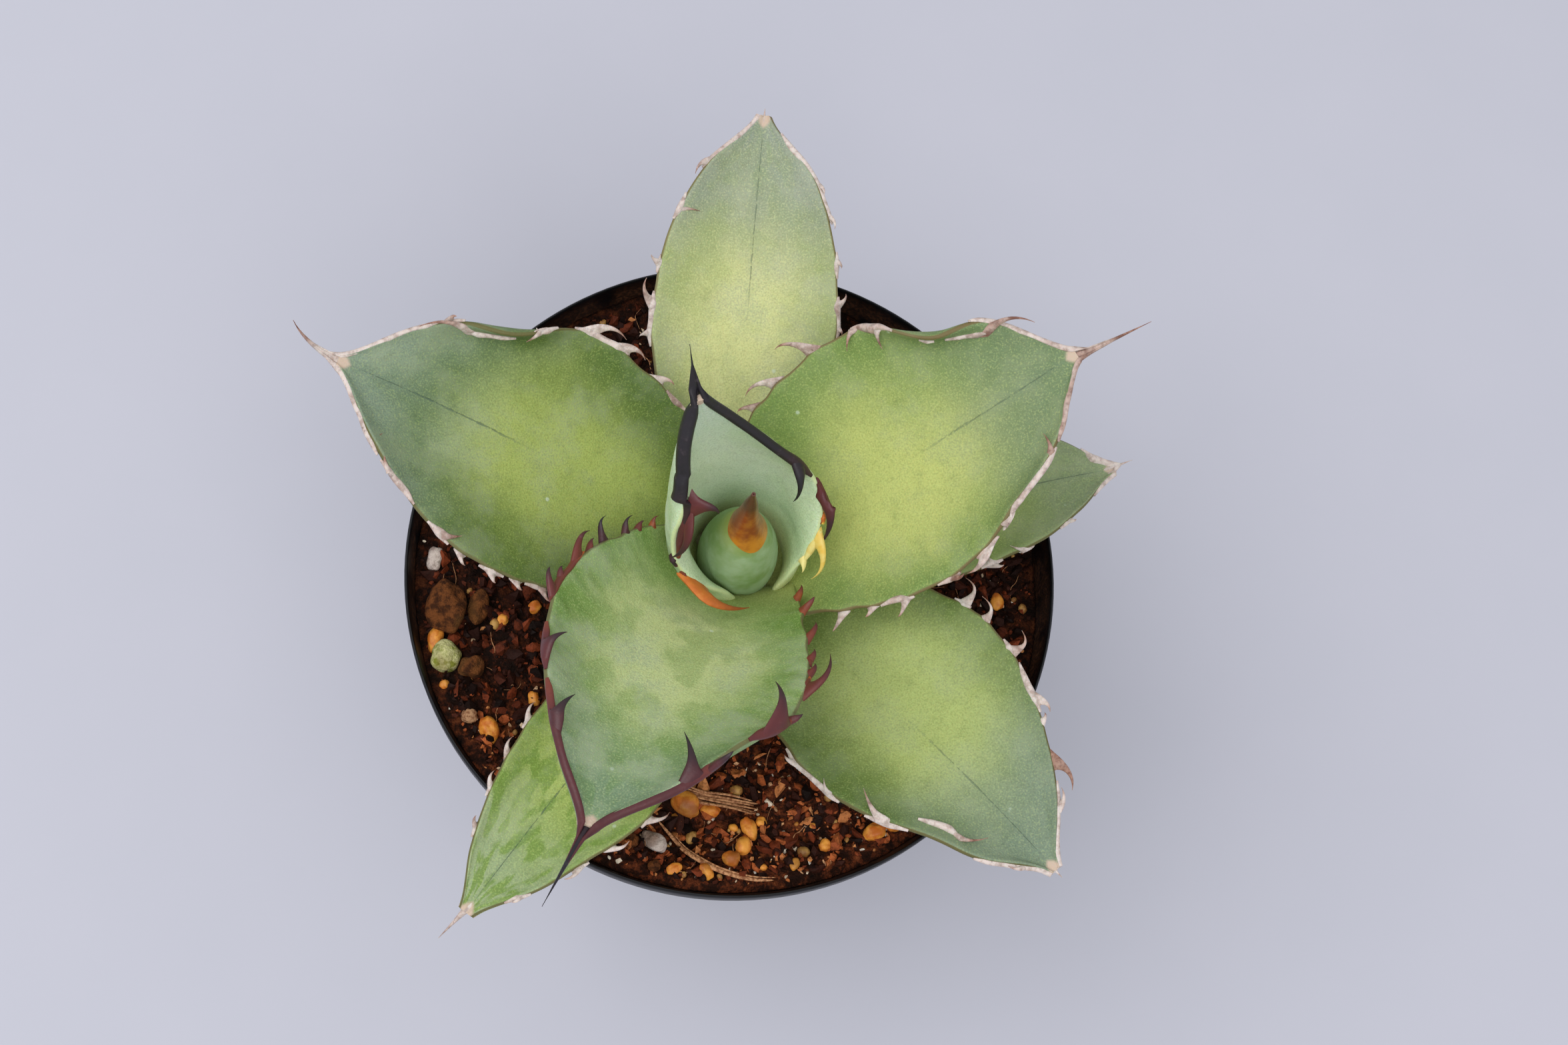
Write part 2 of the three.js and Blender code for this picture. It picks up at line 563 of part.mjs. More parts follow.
// The soil with its uneven top, its grains and the plain hole that the stem stands in
function soilSolid() {
  const hole = STEM_RADIUS + CLEARANCE;
  const [[stemFoot, stemBottom], [, stemSwell]] = STEM_PROFILE;
  const sides = POT_INSIDE.slice(0, -1).map(([radius, height]) => [radius - CLEARANCE, height + CLEARANCE]);
  const outline = [
    [0, sides[0][1]], ...sides, [SOIL_RADIUS, SOIL_TOP],
    ...SOIL_RINGS.toReversed().map((radius) => [radius, SOIL_TOP]),
    [hole, SOIL_TOP], [hole, stemSwell],
    [stemFoot + CLEARANCE, stemBottom - CLEARANCE], [0, stemBottom - CLEARANCE],
  ];
  const bed = facingOut(turned(outline, SOIL_SIDES));
  const points = bed.attributes.position;
  for (let i = 0; i < points.count; i++) {
    if (points.getZ(i) > SOIL_TOP - CLEARANCE) points.setZ(i, soilHeight(points.getX(i), points.getY(i)));
  }
  return STONES.reduce((soil, stone) => soil.add(stoneSolid(stone)), solidOf(bed));
}

// Assembly
const plant = new THREE.Group();

function place(name, solid, color, roughness) {
  const material = new THREE.MeshStandardMaterial({ color, roughness, metalness: 0 });
  const mesh = new THREE.Mesh(geometryOf(solid), material);
  mesh.name = name;
  plant.add(mesh);
}

const leafColours = [0x7f9f78, 0x8fae78, 0x94b35f, 0x7fa352, 0x86a657, 0x9fb86f, 0x94b06a, 0x7a9c56];

place("pot", potSolid(), 0x17181c, 0.45);
place("soil", soilSolid(), 0x3a1f12, 0.95);
place("stem", stemSolid(0), 0xb9b58a, 0.8);
place("bud", budSolid(0), 0x88a984, 0.55);

const cutters = [stemSolid(CLEARANCE), budSolid(CLEARANCE)];
LEAVES.forEach((leaf, i) => {
  const solid = cutters.reduce((rest, cutter) => rest.subtract(cutter), leafSolid(leaf, 0));
  place(leaf.name, largestBody(solid), leafColours[i], 0.6);
  cutters.push(leafSolid(leaf, CLEARANCE));
});

export default plant;
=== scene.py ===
"""A young agave of the oteroi kind in a round black nursery pot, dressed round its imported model.

Metres, +Z up, origin at the middle of the pot's underside. Sizes are written in millimetres and
turned into metres by MM where a mesh is made. Leaves are numbered by age, from the erect one
round the bud outwards, as the solids are.
"""

import math
import random

import bmesh
import bpy
from mathutils import Euler, Matrix, Vector, noise


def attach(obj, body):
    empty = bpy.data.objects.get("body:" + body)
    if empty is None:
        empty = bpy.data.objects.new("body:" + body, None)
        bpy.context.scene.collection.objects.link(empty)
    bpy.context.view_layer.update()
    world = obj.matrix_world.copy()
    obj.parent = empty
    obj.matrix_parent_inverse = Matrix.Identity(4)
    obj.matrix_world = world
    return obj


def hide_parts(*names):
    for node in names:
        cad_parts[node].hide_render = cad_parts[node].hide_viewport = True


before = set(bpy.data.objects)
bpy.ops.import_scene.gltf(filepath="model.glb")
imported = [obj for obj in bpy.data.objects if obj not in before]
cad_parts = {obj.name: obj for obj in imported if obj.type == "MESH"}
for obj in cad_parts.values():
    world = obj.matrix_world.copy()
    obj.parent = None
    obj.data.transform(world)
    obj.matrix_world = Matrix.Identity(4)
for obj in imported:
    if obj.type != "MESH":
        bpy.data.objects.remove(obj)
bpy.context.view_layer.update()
MM = 0.001

# Camera
# The plant is seen from high in front, nearly straight down, through a normal lens.
CAMERA_PLACE = (-24.48, -85.43, 431.87)
CAMERA_AHEAD = (0.0928, 0.2636, -0.9601)
CAMERA_UP = (0, 0.9643, 0.2648)


def placed(name, data):
    """A new object of the scene, at the origin."""
    made = bpy.data.objects.new(name, data)
    scene.collection.objects.link(made)
    return made


scene = bpy.context.scene
camera = placed("camera", bpy.data.cameras.new("camera"))
scene.camera = camera
camera.data.lens = 50
camera.data.sensor_width = 36
camera.data.clip_start = 0.01
ahead = Vector(CAMERA_AHEAD).normalized()
right = ahead.cross(Vector(CAMERA_UP)).normalized()
turn = Matrix((right, right.cross(ahead), -ahead)).transposed()
camera.matrix_world = Matrix.Translation(Vector(CAMERA_PLACE) * MM) @ turn.to_4x4()


# Pot
# A thin moulded pot of black plastic: foot ring, drain holes, tapered wall, wider rim band and lip.
# Soil dust clings to the inside of the rim, and the black is scuffed a little paler in patches.
POT_RADIUS = 52.5
POT_STEPS = 144
DRAIN_HOLES = 8
DRAIN_CIRCLE = 20
DRAIN_RADIUS = 3
PUNCH_LENGTH = 20
DUST_HEIGHTS = (0.0925, 0.0875)
POT_PROFILE = [
    (0, 0), (10, 0), (10.5, 0.2), (11, 2), (29, 2), (29.7, 0.2), (30, 0), (34, 0), (34.4, 0.2), (35, 2),
    (37.5, 2), (38, 2.5), (42, 29), (46, 55), (50, 79.1), (51.2, 80.9), (51.6, 84.5), (52, 87.5),
    (52.4, 87.8), (52.5, 88.1), (52.5, 91.5), (52.4, 91.8), (52.25, 91.97), (52.1, 91.97),
    (51.95, 91.8), (51.85, 91.5), (50.4, 81.8), (49.1, 80), (45, 55), (41, 29.5), (37.1, 3.6), (0, 3.6),
]


class Value:
    """A socket of a finish, with arithmetic that adds its Math nodes."""

    def __init__(self, finish, socket):
        self.finish = finish
        self.socket = socket

    def worked(self, operation, *values):
        return self.finish.node("Math", dict(enumerate(values)), operation=operation)

    def __add__(self, other):
        return self.worked("ADD", self, other)

    __radd__ = __add__

    def __sub__(self, other):
        return self.worked("SUBTRACT", self, other)

    def __rsub__(self, other):
        return self.worked("SUBTRACT", other, self)

    def __mul__(self, other):
        return self.worked("MULTIPLY", self, other)

    __rmul__ = __mul__

    def __truediv__(self, other):
        return self.worked("DIVIDE", self, other)

    def __abs__(self):
        return self.worked("ABSOLUTE", self)

    def within(self, low, high):
        """0 below low, 1 above high, smooth between; the other way round if low is above high."""
        span = {"Value": self, "From Min": low, "From Max": high}
        return self.finish.node("MapRange", span, interpolation_type="SMOOTHSTEP")


class Finish:
    """A procedural material round one Principled shader, whose constants sit on its own sockets.

    Its colours are given from 0 to 255 a channel."""

    def __init__(self, name, **constants):
        self.material = bpy.data.materials.new(name)
        self.material.use_nodes = True
        self.tree = self.material.node_tree
        self.shader = self.tree.nodes["Principled BSDF"]
        for socket, value in constants.items():
            self.shader.inputs[socket.replace("_", " ")].default_value = value

    def node(self, kind, sockets=(), out=0, stops=None, **settings):
        """Adds a node: its settings first, then the values or links of its sockets."""
        made = self.tree.nodes.new("ShaderNode" + kind)
        for setting, value in settings.items():
            setattr(made, setting, value)
        if stops:
            ramp = made.color_ramp.elements
            while len(ramp) < len(stops):
                ramp.new(0.5)
            for element, (place, tone) in zip(ramp, stops):
                element.position = place
                element.color = paint(*tone)
        for socket, value in dict(sockets).items():
            self.plug(made.inputs[socket], value)
        return Value(self, made.outputs[out])

    def plug(self, socket, value):
        if isinstance(value, Value):
            self.tree.links.new(value.socket, socket)
        elif socket.type == "RGBA":
            socket.default_value = paint(*value)
        else:
            socket.default_value = value

    def coordinate(self, axis, sheet=None):
        """The place along an axis of the object, or of its UV map called sheet."""
        if sheet:
            place = self.node("UVMap", out="UV", uv_map=sheet)
        else:
            place = self.node("TexCoord", out="Object")
        return self.node("SeparateXYZ", {0: place}, out=axis)

    def mix(self, first, second, share):
        return self.node("Mix", {0: share, 6: first, 7: second}, out=2, data_type="RGBA")

    def grain(self, size, detail=2, rough=0.5, stretch=(1, 1, 1)):
        """Noise from 0 to 1 whose grains are about size millimetres across."""
        place = self.node("Mapping", {"Vector": self.node("TexCoord", out="Object"), "Scale": stretch})
        sockets = {"Vector": place, "Scale": 1 / (size * MM), "Detail": detail, "Roughness": rough}
        return self.node("TexNoise", sockets)

    def lay(self, colour, roughness, height=None, depth=0.1, strength=1):
        """Lays the colour, the roughness and a relief of depth millimetres on the shader."""
        self.plug(self.shader.inputs["Base Color"], colour)
        self.plug(self.shader.inputs["Roughness"], roughness)
        if height is not None:
            relief = {"Height": height, "Distance": depth * MM, "Strength": strength}
            self.plug(self.shader.inputs["Normal"], self.node("Bump", relief))


def paint(*tone):
    """A colour of the photographed object, from 0 to 255 a channel, as the shader wants it."""
    shares = [c / 255 for c in tone]
    return (*[c / 12.92 if c <= 0.04045 else ((c + 0.055) / 1.055) ** 2.4 for c in shares], 1)


def turned(bm, profile, steps):
    """Spins a profile of (radius, height) round the pot's axis."""
    points = [bm.verts.new((radius, 0, height)) for radius, height in profile]
    edges = [bm.edges.new(pair) for pair in zip(points, points[1:])]
    bmesh.ops.spin(
        bm, geom=points + edges, cent=(0, 0, 0), axis=(0, 0, 1), angle=math.tau, steps=steps, use_merge=True
    )
    bmesh.ops.remove_doubles(bm, verts=bm.verts, dist=1e-4)
    bmesh.ops.dissolve_degenerate(bm, edges=bm.edges, dist=1e-4)
    bmesh.ops.recalc_face_normals(bm, faces=bm.faces)


def meshed(name, bm):
    mesh = bpy.data.meshes.new(name)
    bm.to_mesh(mesh)
    bm.free()
    return mesh


def piece(name, bm, finish, sharp=None, smooth=True):
    """Turns a mesh in millimetres into a piece of the plant, with its finish and material slot."""
    bmesh.ops.scale(bm, verts=bm.verts, vec=(MM, MM, MM))
    mesh = meshed(name, bm)
    mesh.polygons.foreach_set("use_smooth", [smooth] * len(mesh.polygons))
    if sharp:
        mesh.set_sharp_from_angle(angle=math.radians(sharp))
    mesh.materials.append(finish.material)
    made = placed(name, mesh)
    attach(made, "root")
    return made


plastic = Finish("black_pot_plastic", Specular_IOR_Level=0.3)
facing = {0: plastic.node("TexCoord", out="Object"), 1: plastic.node("TexCoord", out="Normal")}
inside = plastic.node("VectorMath", facing, out="Value", operation="DOT_PRODUCT").within(-0.01, -0.03)
scuff = plastic.grain(9, 4, 0.7)
specks = plastic.grain(0.6, 2, 0.7).within(0.46, 0.6)
soiled = inside * plastic.coordinate("Z").within(*DUST_HEIGHTS)
dust = soiled * (0.3 + 0.7 * specks) * plastic.grain(6).within(0.3, 0.55)
black = plastic.mix((7, 7, 10), (17, 18, 24), scuff.within(0.35, 0.75))
plastic.lay(
    plastic.mix(black, (92, 56, 36), dust),
    0.34 + 0.2 * scuff + 0.3 * dust,
    height=plastic.grain(0.5, 2) + specks * soiled,
    depth=0.05,
    strength=0.4,
)

shell = bmesh.new()
turned(shell, POT_PROFILE, POT_STEPS)
pot = piece("pot_shell", shell, plastic, sharp=32)
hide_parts("pot")
punches = bmesh.new()
for k in range(DRAIN_HOLES):
    spot = Matrix.Rotation(math.tau * k / DRAIN_HOLES, 4, "Z")
    spot = spot @ Matrix.Translation((DRAIN_CIRCLE * MM, 0, 0))
    radius, depth = DRAIN_RADIUS * MM, PUNCH_LENGTH * MM
    bmesh.ops.create_cone(
        punches, cap_ends=True, segments=32, radius1=radius, radius2=radius, depth=depth, matrix=spot
    )
punch = placed("punches", meshed("punches", punches))
drain = pot.modifiers.new("drain_holes", "BOOLEAN")
drain.object = punch
drain.solver = "EXACT"
drain.operation = "DIFFERENCE"
bored = bpy.data.meshes.new_from_object(pot.evaluated_get(bpy.context.evaluated_depsgraph_get()))
pot.modifiers.clear()
pot.data = bored
bpy.data.objects.remove(punch)


# Soil
# Damp dark peat mixed with red-brown bark and clay crumbs, pale grit and fine dead roots.
# It nearly fills the pot and lies a little higher on the left.
SOIL_TOP = 86
SOIL_RADIUS = 50.9
SOIL_DIP = 1.6
DIP_RADIUS = 30
SOIL_TILT = -1.1
SOIL_CRUMB = 0.35
SOIL_BANK = 3.3
BANK_RADII = (42, 50)
BED_STEPS = 240
BED_RINGS = 86
RING_STEP = 0.45
STEM_RADIUS = 11.5
CRUMBS = 8600


def smooth(x, low, high):
    t = min(max((x - low) / (high - low), 0), 1)
    return t * t * (3 - 2 * t)


def soil_height(x, y):
    """Height of the soil's surface, as the solid has it, with a low bank against the front wall."""
    bank = SOIL_BANK * smooth(math.hypot(x, y), *BANK_RADII) * smooth(-y, 0, 36)
    dip = SOIL_DIP * (1 - smooth(math.hypot(x, y), STEM_RADIUS, DIP_RADIUS))
    crumb = math.sin(0.35 * x + 1.3) * math.sin(0.4 * y) + math.sin(0.22 * x - 0.3 * y)
    return SOIL_TOP + bank - dip + SOIL_TILT * x / POT_RADIUS + SOIL_CRUMB * crumb


peat = Finish("damp_peat", Specular_IOR_Level=0.12)
clods = peat.grain(2.2, 6, 0.72)
stops = [(0.32, (12, 6, 3)), (0.48, (46, 21, 11)), (0.58, (104, 50, 26)), (0.72, (158, 92, 52))]
tone = peat.node("ValToRGB", {0: clods}, stops=stops)
# The peat is painted darker from the open front backwards, where the leaves shade it: painted shade.
painted_leaf_shade = peat.coordinate("Y").within(-0.036, -0.014)
tone = peat.mix(tone, (14, 7, 4), painted_leaf_shade * 0.62)
peat.lay(tone, 0.62 + 0.25 * peat.grain(1), height=clods + 0.5 * peat.grain(0.5), depth=0.9)

bed = bmesh.new()
rings = [(SOIL_RADIUS - RING_STEP * k, SOIL_TOP) for k in range(BED_RINGS)]
soil_profile = [(0, 3.9), (36.8, 3.9), (48.8, 80.3), (50, 82.1), *rings, (11.8, SOIL_TOP), (11.8, 72)]
turned(bed, [*soil_profile, (8.8, 61.7), (0, 61.7)], BED_STEPS)
for v in bed.verts:
    if v.co.z > SOIL_TOP - 0.1:
        clod = noise.noise(Vector((v.co.x, v.co.y, 7)) / 2.6) * 0.45 + noise.noise(v.co / 0.9) * 0.22
        fade = 1 - smooth(math.hypot(v.co.x, v.co.y), 49.3, 50.3)
        v.co.z = soil_height(v.co.x, v.co.y) + clod * fade
        v.co.xy *= 1 + 0.0029 * (v.co.z - SOIL_TOP)
soil = piece("soil_bed", bed, peat)
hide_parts("soil")

bark = Finish("bark_and_clay_crumbs", Specular_IOR_Level=0.18)
own_tone = bark.node("Attribute", out="Fac", attribute_name="tone")
stops = [
    (0, (22, 10, 7)), (0.28, (58, 24, 13)), (0.5, (130, 58, 30)), (0.75, (190, 102, 54)),
    (0.89, (212, 142, 86)), (0.95, (230, 202, 168)), (1, (250, 244, 232)),
]
crumb_tone = bark.node("ValToRGB", {0: own_tone}, stops=stops)
blotch = bark.grain(0.8, 3, 0.7)
shade = bark.mix(crumb_tone, (30, 14, 9), blotch.within(0.45, 0.7) * 0.55)
bark.lay(shade, 0.6 + 0.25 * blotch, height=blotch, depth=0.25)


def scattered(draw, inner=14.5, outer=50):
    """A random place on the soil, alike in density everywhere."""
    radius = math.sqrt(draw.uniform(inner**2, outer**2))
    angle = draw.uniform(0, math.tau)
    return radius * math.cos(angle), radius * math.sin(angle)


def heap(grains, draw, subdivisions=1, jitter=0.25, proud=0.15, tumbled=True):
    """Jolted balls in one mesh, a ball for each (x, y, turn, three sizes, tone) of grains."""
    bm = bmesh.new()
    tone_layer = bm.verts.layers.float.new("tone")
    bmesh.ops.create_icosphere(bm, subdivisions=subdivisions, radius=0.5)
    per_ball = len(bm.verts)
    while len(bm.verts) < per_ball * len(grains):
        spare = per_ball * len(grains) - len(bm.verts)
        bm.verts.ensure_lookup_table()
        some = bm.verts[:spare]
        faces = {f for v in some for f in v.link_faces}
        bmesh.ops.duplicate(bm, geom=[*some, *{e for f in faces for e in f.edges}, *faces])
    bm.verts.index_update()
    balls = []
    for x, y, turn, sizes, tone in grains:
        angles = [draw.uniform(0, math.tau) for _ in range(3)]
        spin = Euler(angles if tumbled else (0, 0, turn)).to_matrix()
        base = Vector((x, y, soil_height(x, y) + proud * min(sizes)))
        balls.append((spin, base, sizes, tone, Vector(angles) * 15))
    for v in bm.verts:
        spin, base, sizes, tone, seed = balls[v.index // per_ball]
        bulge = 1 + jitter * 2 * noise.noise(v.co * 2.4 + seed)
        v.co = spin @ Vector([a * b * bulge for a, b in zip(v.co, sizes)]) + base
        v[tone_layer] = tone
    return bm


draw = random.Random(11)
crumbs = []
for _ in range(CRUMBS):
    size = 0.5 + 2.2 * draw.random() ** 2.7
    x, y = scattered(draw, outer=50.8 - 0.9 * size)
    # Crumbs are painted paler towards the open front and darker further back under the leaves: painted light
    # and shade.
    lit = smooth(-y, 12, 38)
    value = draw.random() ** (1.0 if size < 1.6 else 1.25) * (0.52 + 0.46 * lit)
    if value > 0.88 or draw.random() < 0.05 + 0.04 * lit:
        value = max(value, draw.uniform(0.86, 1))
        size = draw.uniform(0.35, 1.0)
    sizes = [size * draw.uniform(0.8, 1.9), size * draw.uniform(0.55, 1.0), size * draw.uniform(0.5, 0.9)]
    crumbs.append((x, y, 0, sizes, value))
piece("soil_crumbs", heap(crumbs, draw, jitter=0.5, proud=0.1), bark, smooth=False)

# Pebbles and grit
# Smooth orange pumice pebbles, porous brown lava, white perlite and one mossy lump lie on the
# soil where the leaves leave it open; the larger ones stand where the solid has them.
ORANGE, OCHRE, LAVA, PERLITE, MOSSY, FLAKE = "orange", "ochre", "lava", "perlite", "mossy", "flake"
STONES = [
    (-46, -5, 8.5, 6.2, 100, LAVA), (-41, -5, 5.6, 3.2, 80, LAVA), (-42, -15, 4, 3.6, 20, LAVA),
    (-46, -13.5, 5, 4.4, 60, MOSSY), (-48, 3, 4, 2.5, 80, PERLITE), (-13, -43, 4.4, 3, 150, PERLITE),
    (-48.5, -10.5, 4.2, 2.4, 75, ORANGE), (-46, -18, 1.6, 1.5, 0, ORANGE), (-39, -25, 4.4, 2.9, 110, ORANGE),
    (-37, -7, 1.8, 1.8, 0, ORANGE), (-8, -37, 5, 3.6, 145, ORANGE), (-4, -38, 3.2, 2.2, 170, ORANGE),
    (2, -41, 3.8, 2.4, 110, ORANGE), (1, -44, 3.4, 2.6, 80, ORANGE), (-1, -46, 2.8, 2.6, 30, ORANGE),
    (-5, -48, 3, 2, 120, ORANGE), (-10, -47.5, 2.8, 1.8, 20, ORANGE), (-13, -47, 2, 1.9, 0, LAVA),
    (14, -44, 2.1, 2, 40, ORANGE), (22, -42, 3.8, 2.8, 20, ORANGE), (25, -41, 3, 2.2, 10, ORANGE),
    (9, -47, 2.1, 1.7, 70, ORANGE), (4, -40, 1.8, 1.6, 0, ORANGE), (44, -4, 2.9, 2.2, 100, ORANGE),
    (-32, -5, 2.4, 2, 30, ORANGE), (-42, -23, 2.6, 2.4, 10, FLAKE), (-32, -20, 2.8, 2, 100, ORANGE),
    (-17, -43, 3.2, 2.4, 20, LAVA),
]
STONE_HEIGHT = 0.85
SMALL_PEBBLES = 230

stone_finishes = {}
for kind, pale, deep, size, rough, depth in (
    (ORANGE, (236, 160, 66), (196, 104, 34), 2.6, 0.36, 0.08),
    (OCHRE, (196, 150, 82), (132, 86, 42), 1.8, 0.4, 0.1),
    (LAVA, (124, 72, 36), (66, 36, 18), 1.3, 0.8, 0.6),
    (PERLITE, (218, 202, 192), (176, 156, 146), 1.6, 0.75, 0.4),
    (MOSSY, (216, 212, 150), (140, 146, 56), 1.2, 0.8, 0.5),
    (FLAKE, (206, 158, 118), (140, 88, 56), 0.6, 0.5, 0.3),
):
    finish = Finish(kind + "_stone", Specular_IOR_Level=0.45 - 0.35 * rough)
    cloud = finish.grain(size, 4, 0.6)
    pits = finish.grain(size * 0.3, 3, 0.7)
    shade = finish.mix(deep, pale, cloud.within(0.36, 0.6))
    shade = finish.mix(shade, (116, 78, 40), finish.grain(7).within(0.54, 0.66) * 0.55)
    shade = finish.mix(shade, (60, 28, 14), pits.within(0.64, 0.78) * 0.55)
    finish.lay(shade, rough + 0.15 * pits, height=cloud + pits, depth=depth)
    stone_finishes[kind] = finish

draw = random.Random(23)
for kind, finish in stone_finishes.items():
    if kind == OCHRE:
        continue
    stones = []
    for x, y, length, breadth, angle, stone_kind in STONES:
        if stone_kind == kind:
            inward = min(1, (SOIL_RADIUS - length / 2) / math.hypot(x, y))
            sizes = (length, breadth, STONE_HEIGHT * breadth)
            stones.append((x * inward, y * inward, math.radians(angle), sizes, 0))
    jitter = 0.16 if kind in (LAVA, MOSSY) else 0.12
    bm = heap(stones, draw, subdivisions=4, jitter=jitter, proud=0.3, tumbled=False)
    piece(kind + "_stones", bm, finish)
small = {ORANGE: [], OCHRE: []}
for _ in range(SMALL_PEBBLES):
    size = 0.6 + 1.8 * draw.random() ** 2
    x, y = scattered(draw, outer=50.4 - size)
    if draw.random() < 0.3 + 0.7 * smooth(-y, 12, 38):
        kind = draw.choice((ORANGE, OCHRE, OCHRE))
        small[kind].append((x, y, draw.uniform(0, 6), (size * 1.25, size, size * 0.85), 0))
for kind, pebbles in small.items():
    bm = heap(pebbles, draw, subdivisions=2, jitter=0.1, proud=0.25, tumbled=False)
    piece("small_" + kind + "_pebbles", bm, stone_finishes[kind])

# Dead roots and husk
# Dry brown threads lie over the soil, one long flat fibre and a torn husk in front.
FIBRE = [(-12.3, -39.8), (-10, -42.5), (-7.6, -45.1), (-3, -48), (1.9, -49.4), (5.5, -49.6)]
HUSK = [(-8.4, -35.4), (-5, -36.2), (-1, -36.8), (3.1, -37.8)]
ROOT_THREADS = 170
HUSK_THREADS = 9


def mark_at(marks, s):
    """Smooth value through evenly spaced marks, at s from 0 to 1."""
    x = min(max(s, 0), 1) * (len(marks) - 1)
    i = min(int(x), len(marks) - 2)
    t = x - i
    before, after = marks[max(i - 1, 0)], marks[min(i + 2, len(marks) - 1)]
    a, b = marks[i], marks[i + 1]
    into, out = (b - before) / 2, (after - a) / 2
    return a + into * t + (3 * (b - a) - 2 * into - out) * t * t + (into + out - 2 * (b - a)) * t**3


def laid(bm, stations, sides=8, layer=None, mark=(0, 0)):
    """A closed tube laid along stations of (middle, wide way, thin way, half width, half height).

    A UV layer takes mark, its tint and the height that its first station counts as."""
    steps = len(stations) - 1
    start = len(bm.verts)
    seat = Matrix.Translation((0, 0, 0.5))
    bmesh.ops.create_cone(bm, cap_ends=True, segments=sides, radius1=1, radius2=1, depth=1, matrix=seat)
    bm.verts.ensure_lookup_table()
    edges = {e for v in bm.verts[start:] for e in v.link_edges}
    uprights = [e for e in edges if abs(e.verts[0].co.z - e.verts[1].co.z) > 0.5]
    bmesh.ops.subdivide_edges(bm, edges=uprights, cuts=steps - 1)
    bm.verts.ensure_lookup_table()
    rings = bm.verts[start:]
    if layer:
        for face in {f for v in rings for f in v.link_faces}:
            for loop in face.loops:
                loop[layer].uv = (mark[0], mark[1] + loop.vert.co.z)
    for v in rings:
        middle, wide, thin, half_width, half_height = stations[round(v.co.z * steps)]
        v.co = middle + wide * (v.co.x * half_width) + thin * (v.co.y * half_height)


UP = Vector((0, 0, 1))


def thread(bm, points, half_width, half_height, lift, ends=0.25, sides=6):
    """A fibre that lies on the soil through points of the plan, thinner at its ends."""
    stations = []
    steps = (len(points) - 1) * 6
    courses = list(zip(*points))
    for k in range(steps + 1):
        s = k / steps
        x, y = (mark_at(course, s) for course in courses)
        near = [mark_at(course, s + 0.02) for course in courses]
        far = [mark_at(course, s - 0.02) for course in courses]
        way = Vector((near[0] - far[0], near[1] - far[1], 0)).normalized()
        body = ends + (1 - ends) * math.sin(math.pi * s) ** 0.5
        middle = Vector((x, y, soil_height(x, y) + lift + 0.3 * noise.noise(Vector((x, y, 3)) / 3)))
        stations.append((middle, UP.cross(way), UP, half_width * body, half_height * body))
    laid(bm, stations, sides)


dry_root = Finish("dry_root", Specular_IOR_Level=0.3)
streak = dry_root.grain(0.5, 3, 0.6)
shade = dry_root.mix((134, 82, 50), (204, 150, 106), streak.within(0.35, 0.65))
dry_root.lay(shade, 0.55 + 0.2 * streak, height=streak, depth=0.06)
roots = bmesh.new()
thread(roots, FIBRE, 0.4, 0.25, 1.2, ends=0.1)
thread(roots, [(x + 0.3, y + 0.4) for x, y in FIBRE[1:]], 0.16, 0.15, 1.4, ends=0.1)
draw = random.Random(5)
for k in range(HUSK_THREADS):
    row = 0.26 * (k - HUSK_THREADS // 2)
    frayed = [(x + draw.uniform(-0.5, 0.5), y + row + draw.uniform(-0.2, 0.2)) for x, y in HUSK]
    thread(roots, frayed, 0.22, 0.16, draw.uniform(0.9, 1.4), ends=0.1)
for _ in range(ROOT_THREADS):
    x, y = scattered(draw, 16, 47.5)
    heading = draw.uniform(0, math.tau)
    points = []
    for _ in range(4):
        points.append((x, y))
        heading += draw.uniform(-0.7, 0.7)
        step = draw.uniform(0.7, 2.0)
        x, y = x + step * math.cos(heading), y + step * math.sin(heading)
        shrink = min(1, 48.8 / math.hypot(x, y))
        x, y = x * shrink, y * shrink
    thickness = draw.uniform(0.06, 0.15)
    thread(roots, points, thickness, thickness, draw.uniform(0.2, 0.9), sides=3)
piece("dead_roots", roots, dry_root)

# Stem
# The short pale stem carries every leaf and is hidden by their bases.
stem_skin = Finish("stem_skin", Specular_IOR_Level=0.3)
scar = stem_skin.grain(3, 3, 0.6, stretch=(0.4, 0.4, 1.6))
shade = stem_skin.mix((150, 150, 96), (206, 204, 150), scar)
stem_skin.lay(shade, 0.6 + 0.2 * scar, height=scar, depth=0.3)
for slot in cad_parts["stem"].material_slots:
    slot.material = stem_skin.material

# Bud
# The youngest leaves stay rolled into a leaning cone, waxy green, ending in a glossy horny cap
# that is orange-brown below and nearly black at its point.
BUD_FOOT = 97
BUD_HEIGHT = 33
BUD_RADIUS = [6.1, 6.4, 6.35, 5.9, 4.9, 3.4, 2.1, 1.35, 0.85, 0.12]
BUD_MIDDLE = Vector((-0.2, -0.1, 0))
BUD_LEAN = Vector((0.6, 1.8, 0))
BUD_STATIONS = 48
CAP_FROM = 0.6
CAP_STATIONS = 24


def round_bud(spot):
    """How far up the bud a spot lies, from 0 to 1, the axis there and its angle round it."""
    t = (spot.z - BUD_FOOT) / BUD_HEIGHT
    axis = BUD_MIDDLE + BUD_LEAN * (t * t)
    return t, axis, math.atan2(spot.y - axis.y, spot.x - axis.x)


def bud_station(t, extra=0):
    middle = BUD_MIDDLE + BUD_LEAN * (t * t) + Vector((0, 0, BUD_FOOT + BUD_HEIGHT * t))
    radius = mark_at(BUD_RADIUS, t) + extra
    return middle, Vector((1, 0, 0)), Vector((0, 1, 0)), radius, radius


